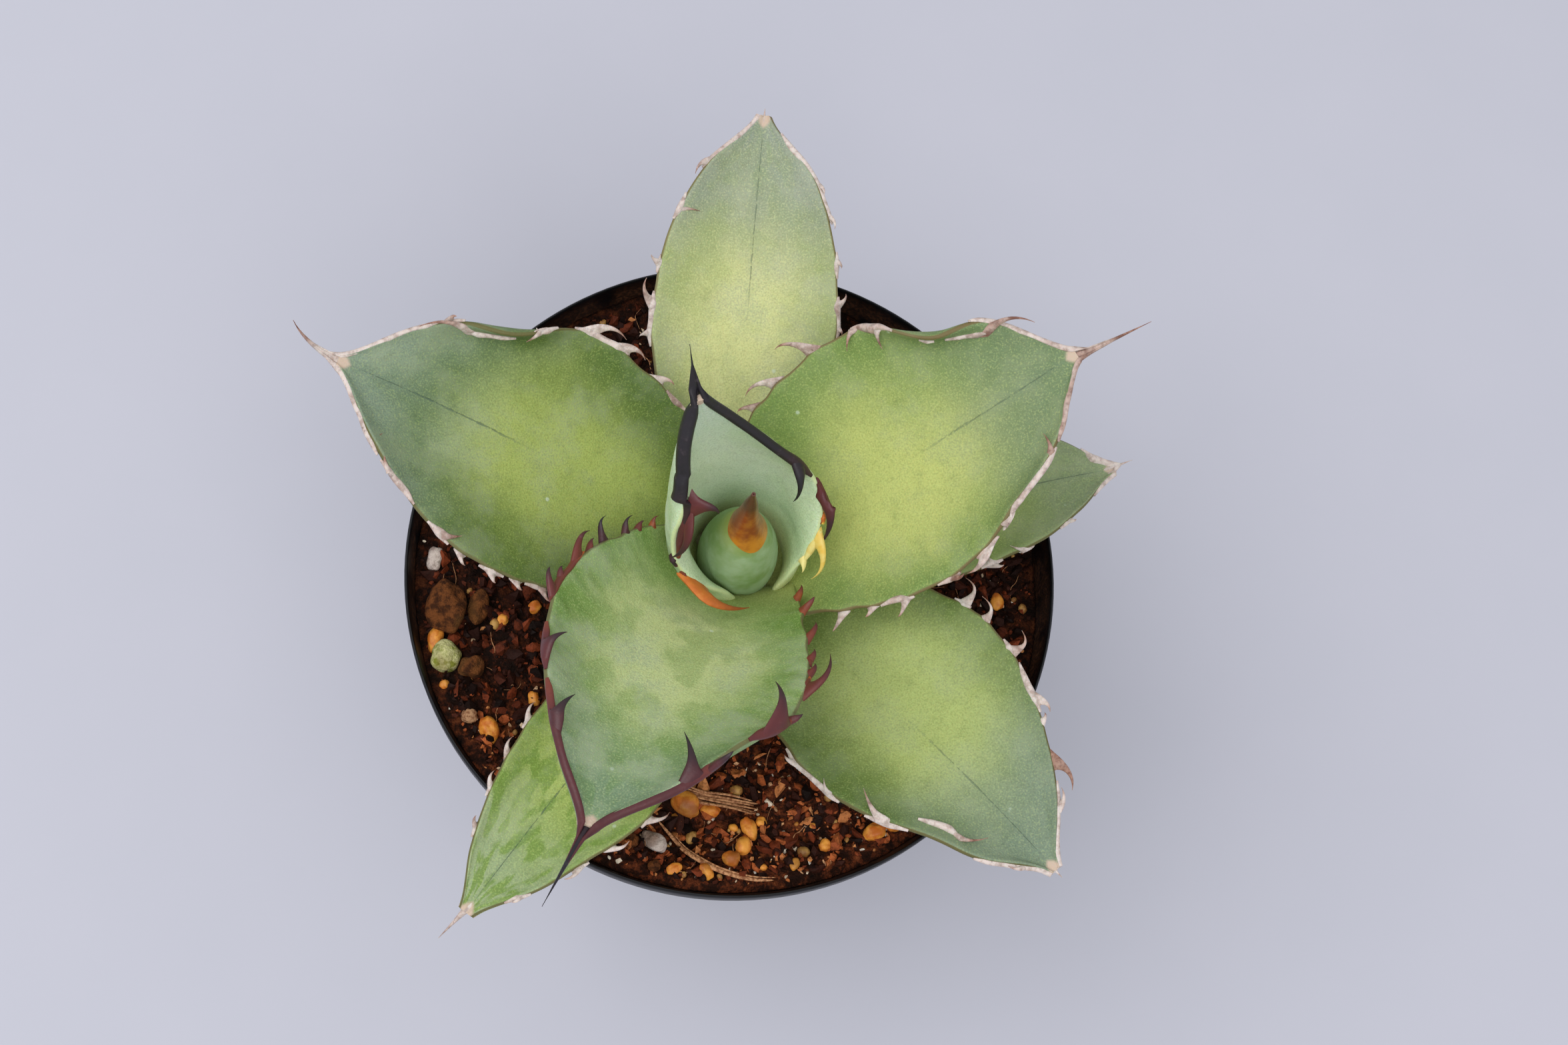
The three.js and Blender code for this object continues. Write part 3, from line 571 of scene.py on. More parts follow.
bud_skin = Finish("bud_skin", Specular_IOR_Level=0.4, Subsurface_Weight=0.06)
bloom = bud_skin.grain(6, 3, 0.6)
stipple = bud_skin.grain(0.35, 2)
height_up = bud_skin.coordinate("Z")
tender = bud_skin.mix((126, 156, 92), (162, 186, 146), bloom.within(0.35, 0.65))
shade = bud_skin.mix(tender, (180, 186, 84), height_up.within(0.113, 0.118) * 0.6)
bud_skin.lay(shade, 0.42 + 0.2 * bloom, height=stipple, depth=0.05)
cone = bmesh.new()
laid(cone, [bud_station(k / BUD_STATIONS) for k in range(BUD_STATIONS + 1)], 64)
for v in cone.verts:
    # the outer leaf's edge winds once round the roll
    t, axis, angle = round_bud(v.co)
    wound = (angle / math.tau + 0.9 * t + 0.12) % 1
    v.co.xy = axis.xy + (v.co.xy - axis.xy) * (1 - 0.05 * wound * (1 - t))
bud = piece("bud_roll", cone, bud_skin, sharp=60)
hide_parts("bud")

cap_horn = Finish("bud_cap_horn", Specular_IOR_Level=0.6, Coat_Weight=0.35, Coat_Roughness=0.2)
cap_grain = cap_horn.grain(2.5, 3, 0.6)
up_cap = cap_horn.coordinate("Z")
browned = up_cap.within(0.114, 0.1215) + 2.2 * (cap_grain - 0.5)
amber = cap_horn.mix((206, 132, 36), (146, 62, 18), browned)
shade = cap_horn.mix(amber, (84, 38, 22), up_cap.within(0.1225, 0.1275) + 0.8 * (cap_grain - 0.5))
cap_horn.lay(shade, 0.24 + 0.15 * cap_grain, height=cap_grain, depth=0.1)
cap = bmesh.new()
cap_places = [CAP_FROM + (1 - CAP_FROM) * k / CAP_STATIONS for k in range(CAP_STATIONS + 1)]
laid(cap, [bud_station(t, 0.22) for t in cap_places], 48)
for v in cap.verts:
    # its lower edge hangs lowest on the front right and follows the roll
    t, _, angle = round_bud(v.co)
    hang = 2 * math.cos(angle + 0.75) + 0.25 * math.sin(4 * angle)
    middle, _, _, radius, _ = bud_station(t - hang * (1 - smooth(t, CAP_FROM, 0.85)) / BUD_HEIGHT, 0.2)
    v.co = middle + Vector((math.cos(angle), math.sin(angle), 0)) * radius
piece("bud_cap", cap, cap_horn, sharp=60)

# Leaves
# Thick, stiff, waxy blades, gutter-shaped, finely stippled, yellow-green in the middle and bluer to
# the tip. The two youngest carry a grey-blue bloom; painted shade darkens the crease of the outer
# midline, and fold crests near the margin carry a painted highlight.
BLADE_ROWS = 120
BLADE_COLUMNS = 60
MIDRIB_THICKNESS = [7, 6, 5.2, 4.5, 3.9, 3.3, 2.7, 2.1, 1.5]
MARGIN_THICKNESS = 1.1
OPEN_WRAP = [1, 0.45, 0.6]
CURL_FROM = 0.62
EDGE_ROUND = 0.06
USUAL_GLOW = (0.42, 0)

# The colours are those of a leaf's centre, sides, tip, foot and bare margin. wax is the strength of its
# bloom and of its pressed marks, their size, the strength of its folds with their painted highlight, and
# that of its crease with its painted shade. glow is the place of its palest spot, along it and across
# it. A spine is (length, sideways, lift, width at its root), its bow (forth, sideways, up). A tooth is
# (place along the leaf, reach to the tip, reach outwards, lift, width at its root), then perhaps (bend,
# tint, inset from the margin, raised above it).
# A ribbon of the horny margin is (from, to, half width), then perhaps (tint, inset, raised). A curl
# (place, spread, turn) rolls a margin over. A half without a wrap of its own has OPEN_WRAP.
LEAVES = {}
LEAVES["leaf_1"] = dict(
    azimuth=122, turn=0, rise=(82, 78), length=43, foot=(7.2, 98), thin=0.7,
    spine=(9, -1.5, -3.4, 2), wax=(0.5, 0.1, 6, 0.2, 0),
    # Its colours are painted paler than the leaf's own: painted light that lifts the shade inside its cup.
    colours=[(216, 232, 202), (196, 218, 172), (204, 222, 204), (232, 234, 170), (206, 220, 166)],
    left=dict(
        width=[18, 18, 17, 16, 14.4, 12, 9, 5.2, 0.8], wrap=[2.6, 1.7, 1],
        curls=[(0.76, 0.2, 0.4), (0.42, 0.3, -1.3)],
        teeth=[
            (0.67, -0.4, 2.6, 4.6, 6.5, 1.2, 0.38, 0, 0.9), (0.63, -7.5, 0.4, 0.3, 6.5, 0, 0.4, 0, 1.3),
            (0.44, -1, 0.2, 0.5, 2, 0, 0.2), (0.31, -11, 0, 2, 7.5, 1.4, 0.74),
        ],
        ribbons=[
            (0.6, 1, 1.3, 0, 0, 0.8), (0.46, 0.68, 1.1, 0.34, 0, 1.1), (0.4, 0.425, 0.6, 0.2),
            (0.34, 0.37, 0.6, 0.55),
        ],
    ),
    right=dict(
        width=[21, 21, 20.5, 19, 16.5, 12.5, 8, 4, 0.8], wrap=[2.9, 1.6, 1], curls=[(0.4, 0.3, -0.7)],
        teeth=[
            (0.58, -5.2, -2, 5, 4, 0, 0.03), (0.42, -9.6, -2.4, 2, 6, 0.6, 0.36),
            (0.34, -1.5, -0.5, 0.5, 1.5, 0, 0.72), (0.28, -7.2, 1.2, 1, 3.5, 0, 0.93),
            (0.2, -1.5, 1.2, 0.5, 2, 0, 1),
        ],
        ribbons=[
            (0.5, 1, 0.62, 0), (0.36, 0.46, 0.62, 0.38), (0.32, 0.35, 0.5, 0.72), (0.2, 0.3, 0.55, 0.97),
        ],
    ),
)
LEAVES["leaf_2"] = dict(
    azimuth=-121, turn=9, rise=(54, 27), length=66, foot=(3, 97),
    spine=(13.5, -1.5, -1, 3), wax=(0.66, 0.32, 6.5, 1, 0),
    colours=[(186, 198, 136), (112, 144, 68), (122, 144, 120), (166, 174, 104), (104, 104, 64)],
    left=dict(
        width=[11, 14, 17, 19.5, 20.8, 19.5, 15, 9, 0.8], wrap=[1.1, 0.6, 0.7], curls=[(0.72, 0.16, 0.5)],
        teeth=[
            (0.84, -4, -5.5, 4.5, 6), (0.79, -2.4, 3.2, 1.2, 3.5), (0.635, -3.4, -0.8, 6.3, 7.5),
            (0.58, -1.2, 1.4, 0.6, 2), (0.465, -6, 2.8, 2, 4.5, 1.2), (0.41, -2, 0.8, 0.5, 3),
            (0.36, -2, 0.8, 0.5, 2.4), (0.28, -2.4, 1.6, 0.8, 2.6), (0.17, -0.6, 2.5, 1, 2.4),
            (0.11, -1.5, 1.4, 1, 2),
        ],
        ribbons=[(0.77, 1, 0.45), (0.575, 0.7, 0.75), (0.42, 0.475, 0.4), (0.35, 0.38, 0.4)],
    ),
    right=dict(
        width=[11, 14, 17, 19.5, 20, 18, 13.8, 8, 0.8], wrap=[1.1, 0.6, 0.7],
        teeth=[
            (0.83, -3.8, -2.2, 3, 6), (0.68, -1.8, -1, 3.6, 6), (0.53, -2.8, 2.4, 1, 3.6),
            (0.48, -1.4, 1, 0.6, 2.4), (0.41, -5, 1.8, 1, 4), (0.36, -1.5, 1, 0.5, 2),
            (0.31, -0.8, 3.5, 1, 2.2, 0.9, 0.22), (0.24, -1.5, 2.1, 1, 1.9, 0.7, 0.25),
            (0.2, -0.9, 0.9, 0.8, 1.7, 0, 0.45), (0.15, -0.3, 1.4, 1, 1.5, 0.4, 0.62),
        ],
        ribbons=[(0.74, 1, 0.34), (0.61, 0.72, 0.4), (0.38, 0.55, 0.35)],
    ),
)
LEAVES["leaf_3"] = dict(
    azimuth=22, turn=7, rise=(46, 24), length=63, foot=(3, 95),
    glow=(0.42, -0.15), spine=(12, -2.4, 2, 2.6), bow=(0.6, 0, -0.5), wax=(0.36, 0.06, 6, 0.3, 0.5),
    colours=[(180, 188, 108), (112, 138, 70), (114, 132, 102), (174, 180, 102), (112, 100, 62)],
    left=dict(
        width=[12, 16, 19.5, 21.5, 22, 20.5, 16, 11, 0.8], curls=[(0.74, 0.16, 1.5)],
        teeth=[
            (0.84, 8, -1.2, 0.8, 4, 0, 0.85, 2.6), (0.64, 0, -3.5, 2, 5), (0.58, -2, -2.5, 2, 4),
            (0.46, -4.6, 3.6, 1, 4), (0.34, -4.8, 2.1, 1, 4), (0.26, -2, 2, 1, 3),
        ],
        ribbons=[
            (0.83, 1, 0.3), (0.76, 0.85, 0.5, 0.5, 2.4), (0.71, 0.74, 0.45, 0.3, 1.6), (0.57, 0.67, 0.8),
        ],
    ),
    right=dict(
        width=[12, 15, 17.5, 19.5, 20, 18.5, 16, 9.5, 0.8], curls=[(0.74, 0.14, 0.7)],
        teeth=[
            (0.83, 3.1, -2.4, 1.5, 4), (0.68, -1.5, -0.8, 1, 5), (0.6, -4.5, 0.8, 0.5, 6),
            (0.5, 2, 0.8, 0.8, 4), (0.38, -1.6, 2.7, 0.3, 3), (0.3, -1, 1.6, 0.3, 3), (0.23, -1, 3.6, 0.3, 3),
        ],
        ribbons=[
            (0.86, 1, 0.28), (0.69, 0.85, 0.4), (0.57, 0.64, 0.4), (0.46, 0.52, 0.5), (0.32, 0.4, 0.4),
        ],
    ),
)
LEAVES["leaf_4"] = dict(
    azimuth=155, turn=6, rise=(36, 14), length=69, foot=(3, 93.5),
    spine=(8.3, -2, 4.5, 3), bow=(1, 0.4, -1.2), wax=(0.4, 0.06, 6, 0.3, 0.65),
    colours=[(154, 168, 86), (76, 102, 34), (136, 152, 136), (118, 138, 54), (100, 98, 56)],
    left=dict(
        width=[11, 14, 17, 19.5, 21, 20.5, 16.5, 10.5, 0.8],
        teeth=[
            (0.87, 1, -2.2, 1, 4), (0.8, 4, -0.9, 0.8, 5), (0.67, -2.6, -2, 1.5, 6),
            (0.61, -1.5, 1.5, 0.5, 3), (0.53, -1, 1.8, 0.5, 4), (0.47, -1, 1.4, 0.5, 3),
            (0.41, -1, 2.3, 0.5, 3),
        ],
        ribbons=[(0.85, 1, 0.35), (0.74, 0.84, 0.45), (0.64, 0.7, 0.6), (0.5, 0.56, 0.6), (0.4, 0.45, 0.5)],
    ),
    right=dict(
        width=[11, 14, 17, 19, 20.5, 18.5, 15, 9, 0.8], curls=[(0.7, 0.16, 1.6)],
        teeth=[
            (0.82, -1.5, 1, 1, 4), (0.765, 8, -1.1, 1, 4, 0, 0.6, 2), (0.64, 2.5, -1.5, 1, 4),
            (0.54, -6, 0.6, 1, 5), (0.46, -4, 0.8, 1, 5), (0.36, -2.5, 1.2, 1, 4),
        ],
        ribbons=[
            (0.83, 1, 0.35), (0.79, 0.82, 0.5), (0.68, 0.775, 0.5, 0.3, 2), (0.61, 0.65, 0.4),
            (0.44, 0.57, 0.55), (0.27, 0.33, 0.6),
        ],
    ),
)
LEAVES["leaf_5"] = dict(
    azimuth=-45, turn=-5, rise=(24, 3), length=68, foot=(3, 92),
    # Its palest spot lies towards its left margin, so the right side, where leaf_2 overlaps it, is darker:
    # partly its own darker green, partly painted shade.
    glow=(0.56, 0.12), spine=(1.5, 0, 0.5, 3), wax=(0.25, 0.06, 6, 0.3, 0.5),
    colours=[(163, 177, 103), (88, 112, 44), (126, 142, 126), (104, 126, 46), (98, 94, 52)],
    left=dict(
        width=[10, 13, 16, 18, 19.5, 18, 14, 8.5, 0.8],
        teeth=[
            (0.44, -1.4, 3.7, 0.8, 3.4, 1.4), (0.5, -2.6, 2.3, 0.8, 2.8, 1), (0.59, -1.4, 3.1, 0.8, 3.4, 1.2),
            (0.7, 3, 1.5, 0.5, 5), (0.75, -1.3, 0.8, 0.5, 3), (0.82, 5.4, 2.1, 0.5, 5, 0, 0.95),
            (0.91, -3.5, 0.6, 0.5, 4),
        ],
        ribbons=[(0.86, 1, 0.4), (0.62, 0.73, 0.5), (0.42, 0.46, 0.5), (0.56, 0.6, 0.5)],
    ),
    right=dict(
        width=[10, 13, 15.5, 17.5, 18.2, 16.5, 12, 8, 0.8],
        teeth=[
            (0.95, -2.8, 0.6, 0.5, 3), (0.79, 5, -4.4, 1, 3.5, 0, 0.6, 2.4), (0.68, -5, -3.6, 2.2, 6),
            (0.55, -2.6, -1.4, 1, 4), (0.44, -2, 0.8, 0.5, 4),
        ],
        ribbons=[(0.86, 1, 0.35), (0.715, 0.81, 0.5, 0.3, 2.6), (0.63, 0.72, 0.6), (0.4, 0.57, 0.4)],
    ),
)
LEAVES["leaf_6"] = dict(
    azimuth=88, turn=-4, rise=(28, 10), length=71, foot=(3, 90.5),
    spine=(1.2, 0, 0.5, 3), wax=(0.4, 0.15, 6, 0.3, 0.5),
    colours=[(200, 203, 138), (156, 168, 106), (136, 146, 142), (190, 196, 122), (122, 116, 72)],
    left=dict(
        width=[9, 11, 13, 14.5, 15.6, 15, 13, 8.5, 0.8],
        teeth=[
            (0.88, -3.5, 0.4, 0.6, 4), (0.76, 1.6, -3.2, 1.2, 4), (0.64, 1, 1.8, 0.6, 3),
            (0.55, 4, 1.6, 0.6, 4), (0.49, -0.7, 1.8, 0.4, 3),
        ],
        ribbons=[(0.86, 1, 0.5), (0.74, 0.8, 0.4), (0.62, 0.66, 0.4), (0.46, 0.58, 0.5)],
    ),
    right=dict(
        width=[9, 11, 13, 14, 14.5, 14, 12.5, 8.5, 0.8],
        teeth=[
            (0.85, -2.2, 0.4, 0.6, 3), (0.78, -2.4, 0.5, 0.6, 3), (0.68, -1.3, 0.8, 0.5, 3),
            (0.58, 1.8, 1.4, 0.5, 3), (0.53, -1, 0.8, 0.5, 3),
        ],
        ribbons=[(0.76, 0.96, 0.35), (0.64, 0.7, 0.4), (0.5, 0.6, 0.4)],
    ),
)
LEAVES["leaf_7"] = dict(
    azimuth=-127, turn=-1, rise=(22, -6), length=67, foot=(3, 89),
    spine=(5.5, -0.8, 1, 3), wax=(0.5, 0.8, 4.6, 0.3, 0.65),
    colours=[(172, 188, 104), (128, 150, 66), (150, 166, 130), (134, 150, 62), (108, 106, 60)],
    left=dict(
        width=[8, 10, 12, 13, 14, 13.5, 10.5, 6.5, 0.8],
        teeth=[
            (0.9, 1.4, 0.6, 0.5, 3), (0.77, 3, 0.8, 0.8, 4), (0.7, -3, 0.8, 0.6, 3), (0.6, -3, 1.8, 0.5, 3),
        ],
        ribbons=[(0.88, 0.93, 0.4), (0.75, 0.79, 0.5), (0.59, 0.62, 0.5)],
    ),
    right=dict(
        width=[8, 9, 10, 10.5, 10.5, 10, 8.5, 5.5, 0.8],
        teeth=[
            (0.84, -1.8, 0.6, 0.5, 3), (0.75, -2.5, 0.6, 0.5, 3), (0.67, -2.9, 0.6, 0.5, 3),
            (0.58, -3, 0.8, 0.5, 3),
        ],
        ribbons=[(0.83, 0.86, 0.4), (0.74, 0.77, 0.4), (0.57, 0.6, 0.5)],
    ),
)
LEAVES["leaf_8"] = dict(
    azimuth=17, turn=-5, rise=(20, -8), length=63, foot=(3, 88),
    spine=(3.5, 0.8, 1.2, 2.6), wax=(0.4, 0.15, 6, 0.3, 0.65),
    colours=[(160, 174, 98), (124, 146, 72), (134, 146, 120), (142, 158, 78), (102, 100, 56)],
    left=dict(
        width=[8, 9.5, 11, 12, 12.5, 12, 10, 6, 0.8],
        teeth=[(0.86, -2, 0.8, 0.5, 3), (0.72, -2, 1, 0.5, 3)],
        ribbons=[(0.92, 1, 0.8)],
    ),
    right=dict(
        width=[8, 9.5, 11, 12, 12.5, 11.5, 10, 6, 0.8],
        teeth=[(0.83, 0.8, 0.9, 0.5, 3), (0.7, -2.4, -1.4, 1.2, 4), (0.6, 1.5, 1.2, 0.5, 4)],
        ribbons=[(0.92, 1, 0.8), (0.8, 0.84, 0.5), (0.57, 0.63, 1.3)],
    ),
)


def heading_at(leaf, s):
    """The way along the midrib, the way to the left margin and the way up, at s."""
    rise = math.radians(leaf["rise"][0] + (leaf["rise"][1] - leaf["rise"][0]) * s)
    heading = math.radians(leaf["azimuth"] + leaf["turn"] * s)
    along = Vector((math.cos(rise) * math.cos(heading), math.cos(rise) * math.sin(heading), math.sin(rise)))
    across = Vector((-math.sin(heading), math.cos(heading), 0))
    return along, across, along.cross(across)


def frame_at(leaf, s, steps=20):
    """The midrib's place at s, with its three ways."""
    azimuth = math.radians(leaf["azimuth"])
    radius, height = leaf["foot"]
    spot = Vector((radius * math.cos(azimuth), radius * math.sin(azimuth), height))
    for k in range(steps):
        spot += heading_at(leaf, s * (k + 0.5) / steps)[0] * (leaf["length"] * s / steps)
    return spot, *heading_at(leaf, s)


def half_of(leaf, side):
    return leaf["left" if side > 0 else "right"]


def near_tooth(leaf, side, s, reach):
    """1 at the root of a tooth of the margin, falling to 0 over some reach in millimetres."""
    places = [tooth[0] for tooth in half_of(leaf, side)["teeth"]]
    return min(sum(math.exp(-(((s - place) * leaf["length"] / reach) ** 2)) for place in places), 1)


def blade_spot(leaf, seat, s, q, depth=0):
    """Point of the blade at s along it and q across it, right -1 to left 1, depth below its face."""
    spot, _, across, up = seat
    half = half_of(leaf, q)
    swell = 0.8 * near_tooth(leaf, q, s, 1.9) - 0.3
    reach = mark_at(half["width"], s) + swell * smooth(s, 0.1, 0.2) * (1 - s)
    wrap = mark_at(half.get("wrap", OPEN_WRAP), s)
    roll = sum(c[2] * (1 - smooth(abs(s - c[0]) / c[1], 0, 1)) for c in half.get("curls", ()))
    steps = 14
    out = rise = 0.0
    for k in range(steps):
        x = abs(q) * (k + 0.5) / steps
        bend = wrap * x + roll * smooth(x, CURL_FROM, 1)
        out += math.cos(bend)
        rise += math.sin(bend)
    bend = wrap * abs(q) + roll * smooth(abs(q), CURL_FROM, 1)
    share = reach * abs(q) / steps
    side = 1 if q > 0 else -1
    outward = across * (side * (out * share + depth * math.sin(bend)))
    return spot + outward + up * (rise * share - depth * math.cos(bend))


def blade_thickness(leaf, s, q):
    middle = mark_at(MIDRIB_THICKNESS, s) * leaf.get("thin", 1)
    return middle + (min(MARGIN_THICKNESS, middle) - middle) * abs(q) ** 2.2


def relief_at(leaf, number, s, q):
    """Gentle unevenness of a blade, in millimetres, stronger towards the margin."""
    place = Vector((s * leaf["length"] / 11, q * 1.8, number * 7.3))
    near = near_tooth(leaf, q, s, 2.4)
    edge = smooth(abs(q), 0.55, 1)
    return 0.45 * noise.noise(place) * (0.4 + edge) + 0.35 * edge * near * smooth(s, 0.1, 0.3)


def blade_mesh(leaf, number):
    """The blade: a grid made a closed slab, then every point of it moved to its place."""
    bm = bmesh.new()
    uv = bm.loops.layers.uv.new("blade")
    bmesh.ops.create_grid(bm, x_segments=BLADE_COLUMNS, y_segments=BLADE_ROWS, size=0.5)
    raised = bmesh.ops.extrude_face_region(bm, geom=bm.faces[:])["geom"]
    top = [g for g in raised if isinstance(g, bmesh.types.BMVert)]
    bmesh.ops.translate(bm, verts=top, vec=(0, 0, 1))
    for face in bm.faces:
        for loop in face.loops:
            loop[uv].uv = (loop.vert.co.x + 0.5, loop.vert.co.y + 0.5)
    seats = {}
    for v in bm.verts:
        s = round((v.co.y + 0.5) * BLADE_ROWS) / BLADE_ROWS
        q = math.sin(v.co.x * math.pi)
        if s not in seats:
            seats[s] = frame_at(leaf, s)
        thickness = blade_thickness(leaf, s, q)
        margin = max(0, (abs(q) - 1 + EDGE_ROUND) / EDGE_ROUND)
        rounding = 0.46 * MARGIN_THICKNESS * (1 - math.sqrt(max(0, 1 - margin**2)))
        relief = relief_at(leaf, number, s, q)
        depth = rounding - relief if v.co.z > 0.5 else thickness - rounding - relief
        v.co = blade_spot(leaf, seats[s], s, q or 1e-9, depth)
    bmesh.ops.recalc_face_normals(bm, faces=bm.faces)
    return bm


def toned(tone, factor, lift=0):
    return [min(255, factor * c + lift) for c in tone]


def leaf_finish(name, leaf):
    """Waxy leaf skin: pressed marks, bloom, stipple, painted shade in the crease, painted highlight on folds.
    """
    centre, green, tip, foot, edge = leaf["colours"]
    bloom, marks, mark_size, folds_and_highlight, crease_and_shade = leaf["wax"]
    glow_at, glow_side = leaf.get("glow", USUAL_GLOW)
    skin = Finish(name, Specular_IOR_Level=0.35, Subsurface_Weight=0.08, Subsurface_Scale=0.003)
    s = skin.coordinate("Y", "blade")
    side = (skin.coordinate("X", "blade") - 0.5) * math.pi
    across = side.worked("SINE", side)
    q = abs(across)
    cloud = skin.grain(15, 3, 0.55)
    mottle = skin.grain(3.2, 4, 0.65)
    stipple = skin.grain(0.27, 1, 0.5)
    glow = s.within(0, glow_at) * s.within(0.95, glow_at) * abs(across - glow_side).within(1.15, 0)
    waxy = (s.within(0.48, 1) + (cloud - 0.5) * 1.1 + q * 0.15).within(0.1, 1.1)
    reach = s * leaf["length"]
    place = skin.node("CombineXYZ", {0: reach / mark_size, 1: across * (19 / mark_size), 2: cloud * 2})
    imprint = skin.node("TexNoise", {"Vector": place, "Scale": 1, "Detail": 2, "Roughness": 0.45})
    pressed = imprint.within(0.46, 0.58) * s.within(0.05, 0.3)
    frost = skin.grain(8, 4, 0.62).within(0.42, 0.66) * (0.5 + 0.5 * stipple.within(0.42, 0.6))
    wander = (skin.grain(1.2, 3) - 0.5) * 0.03
    broken = skin.grain(0.8, 2).within(0.3, 0.5)
    # A thin dark line and a darker band along the midline near the tip are painted shade in the crease; the
    # groove is a bump.
    midline_groove_and_shade = (q + wander).within(0.011, 0.002) * s.within(0.5, 0.66) * s.within(0.955, 0.93) * broken
    speckle = {"Vector": skin.node("TexCoord", out="Object"), "Scale": 170}
    fleck = skin.node("TexVoronoi", speckle, out="Distance").within(0.075, 0.03)
    # Fold crests near the margin are a bump and are painted paler: painted highlight.
    place = skin.node("CombineXYZ", {0: reach / 3.4, 1: across * 1.3, 2: cloud})
    fold_relief_and_highlight = skin.node("TexNoise", {"Vector": place, "Scale": 1, "Detail": 1, "Roughness": 0.4})
    near_edge = q.within(0.5, 0.95) * s.within(0.08, 0.2) * s.within(0.85, 0.7)
    shade = green
    for tone, share in (
        (centre, (glow * 1.3 + (cloud - 0.5) * 1.2).within(-0.1, 1.1)),
        (tip, waxy * 0.8),
        (foot, s.within(0.22, 0.02) * 0.9),
        ([a * c for a, c in zip((0.84, 0.92, 0.74), green)], pressed * marks),
        ([0.36 * (a + c) + 58 for a, c in zip(tip, centre)], frost * s.within(0.05, 0.5) * bloom),
        (toned(green, 0.8), mottle.within(0.5, 0.8) * 0.25),
        (toned(green, 0.62), stipple.within(0.5, 0.7) * 0.2),
        (toned(centre, 1.1, 22), stipple.within(0.48, 0.3) * 0.18),
        ((70, 90, 72), midline_groove_and_shade * crease_and_shade),
        ((98, 116, 106), q.within(0.14, 0) * s.within(0.55, 0.85) * crease_and_shade * 0.3),
        ((206, 220, 204), fleck * skin.grain(12).within(0.52, 0.6) * 0.5),
        ((200, 178, 158), (s - q * 0.02).within(0.966, 0.978)),
        (edge, q.within(0.982, 0.996) * s.within(0.04, 0.12)),
        (toned(centre, 0.5, 100), fold_relief_and_highlight.within(0.5, 0.75) * near_edge * folds_and_highlight * 0.3),
    ):
        shade = skin.mix(shade, tone, share)
    relief = stipple * 0.14 + mottle * 0.35 + fold_relief_and_highlight * near_edge * (2.4 * folds_and_highlight) - midline_groove_and_shade * (0.3 * crease_and_shade)
    skin.lay(shade, 0.5 + 0.14 * cloud + 0.1 * stipple, height=relief, depth=0.5, strength=0.8)
    return skin


SLOTS = dict(leaf_1="leaf_young", leaf_2="leaf_young")
for number, (name, leaf) in enumerate(LEAVES.items()):
    skin = leaf_finish(name.replace("leaf", "leaf_skin"), leaf)
    made = piece(name + "_blade", blade_mesh(leaf, number), skin, sharp=75)
    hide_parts(name)

# Horny margins, teeth and spines
# Each leaf's margin turns to horn: ribbons along the edge, hooked teeth on swellings and a
# terminal spine. It is dark purple-black on the young leaves and dries to pale curling flakes.
HORN_STATIONS = 12
HORN_SIDES = 12


def horn(bm, layer, root, reach, bow, edge_way, thin, width, thickness, tint):
    """A thorn from root to root + reach, bowed sideways in its middle, with a broad foot that
    lies along the margin and narrows quickly."""
    flat = reach.cross(edge_way)
    if flat.length < 0.35 * reach.length:
        flat = thin.copy()
    flat.normalize()
    if flat.cross(reach).dot(edge_way) < 0:
        flat.negate()
    stations = []
    for k in range(HORN_STATIONS + 1):
        t = k / HORN_STATIONS
        middle = root + reach * t + bow * (4 * t * (1 - t))
        tangent = (reach + bow * (4 - 8 * t)).normalized()
        wide = edge_way.lerp(flat.cross(tangent).normalized(), smooth(t, 0, 0.4)).normalized()
        taper = 0.34 * (1 - t) ** 0.9 + 0.66 * (1 - t) ** 5
        half_width = max(width / 2 * taper, 0.04)
        half_height = max(min(thickness / 2 * (1 - t) ** 0.7, half_width * 1.6), 0.04)
        stations.append((middle, wide, tangent.cross(wide).normalized(), half_width, half_height))
    laid(bm, stations, HORN_SIDES, layer, (tint, 0))


def spine_at(leaf):
    """The terminal spine's root, reach and bow, with the ways across it and up from it."""
    length, sideways, lift, _ = leaf["spine"]
    spot, along, across, up = frame_at(leaf, 1.0)
    root = spot - along * SPINE_SINK - up * 0.95
    reach = (along * (length + SPINE_SINK) + across * sideways + up * (lift + 0.4)) * SPINE_SHARE
    forth, aside, raised = leaf.get("bow", (0, 0, 0))
    return root, reach, along * forth + across * aside + up * raised, across, up


def margin_at(leaf, s, side, inset=0):
    """The margin's mid-thickness point at s, or one of the upper face inset from the margin, with
    the ways out of it, along it and up from it."""
    width = mark_at(half_of(leaf, side)["width"], s)
    q = side * (1 - inset / max(width, 2 * inset, 1))
    deep = 0 if inset else blade_thickness(leaf, s, 1) / 2
    seat = frame_at(leaf, s)
    edge = blade_spot(leaf, seat, s, q, deep)
    inner = blade_spot(leaf, seat, s, q - side * 0.08, deep)
    near, far = (min(max(s + step, 0), 1) for step in (-0.02, 0.02))
    along = blade_spot(leaf, frame_at(leaf, far), far, q, deep)
    along = (along - blade_spot(leaf, frame_at(leaf, near), near, q, deep)).normalized()
    out = (edge - inner).normalized()
    out = (out - along * out.dot(along)).normalized()
    thin = along.cross(out)
    if thin.dot(seat[3]) < 0:
        thin.negate()
    return edge, out, along, thin


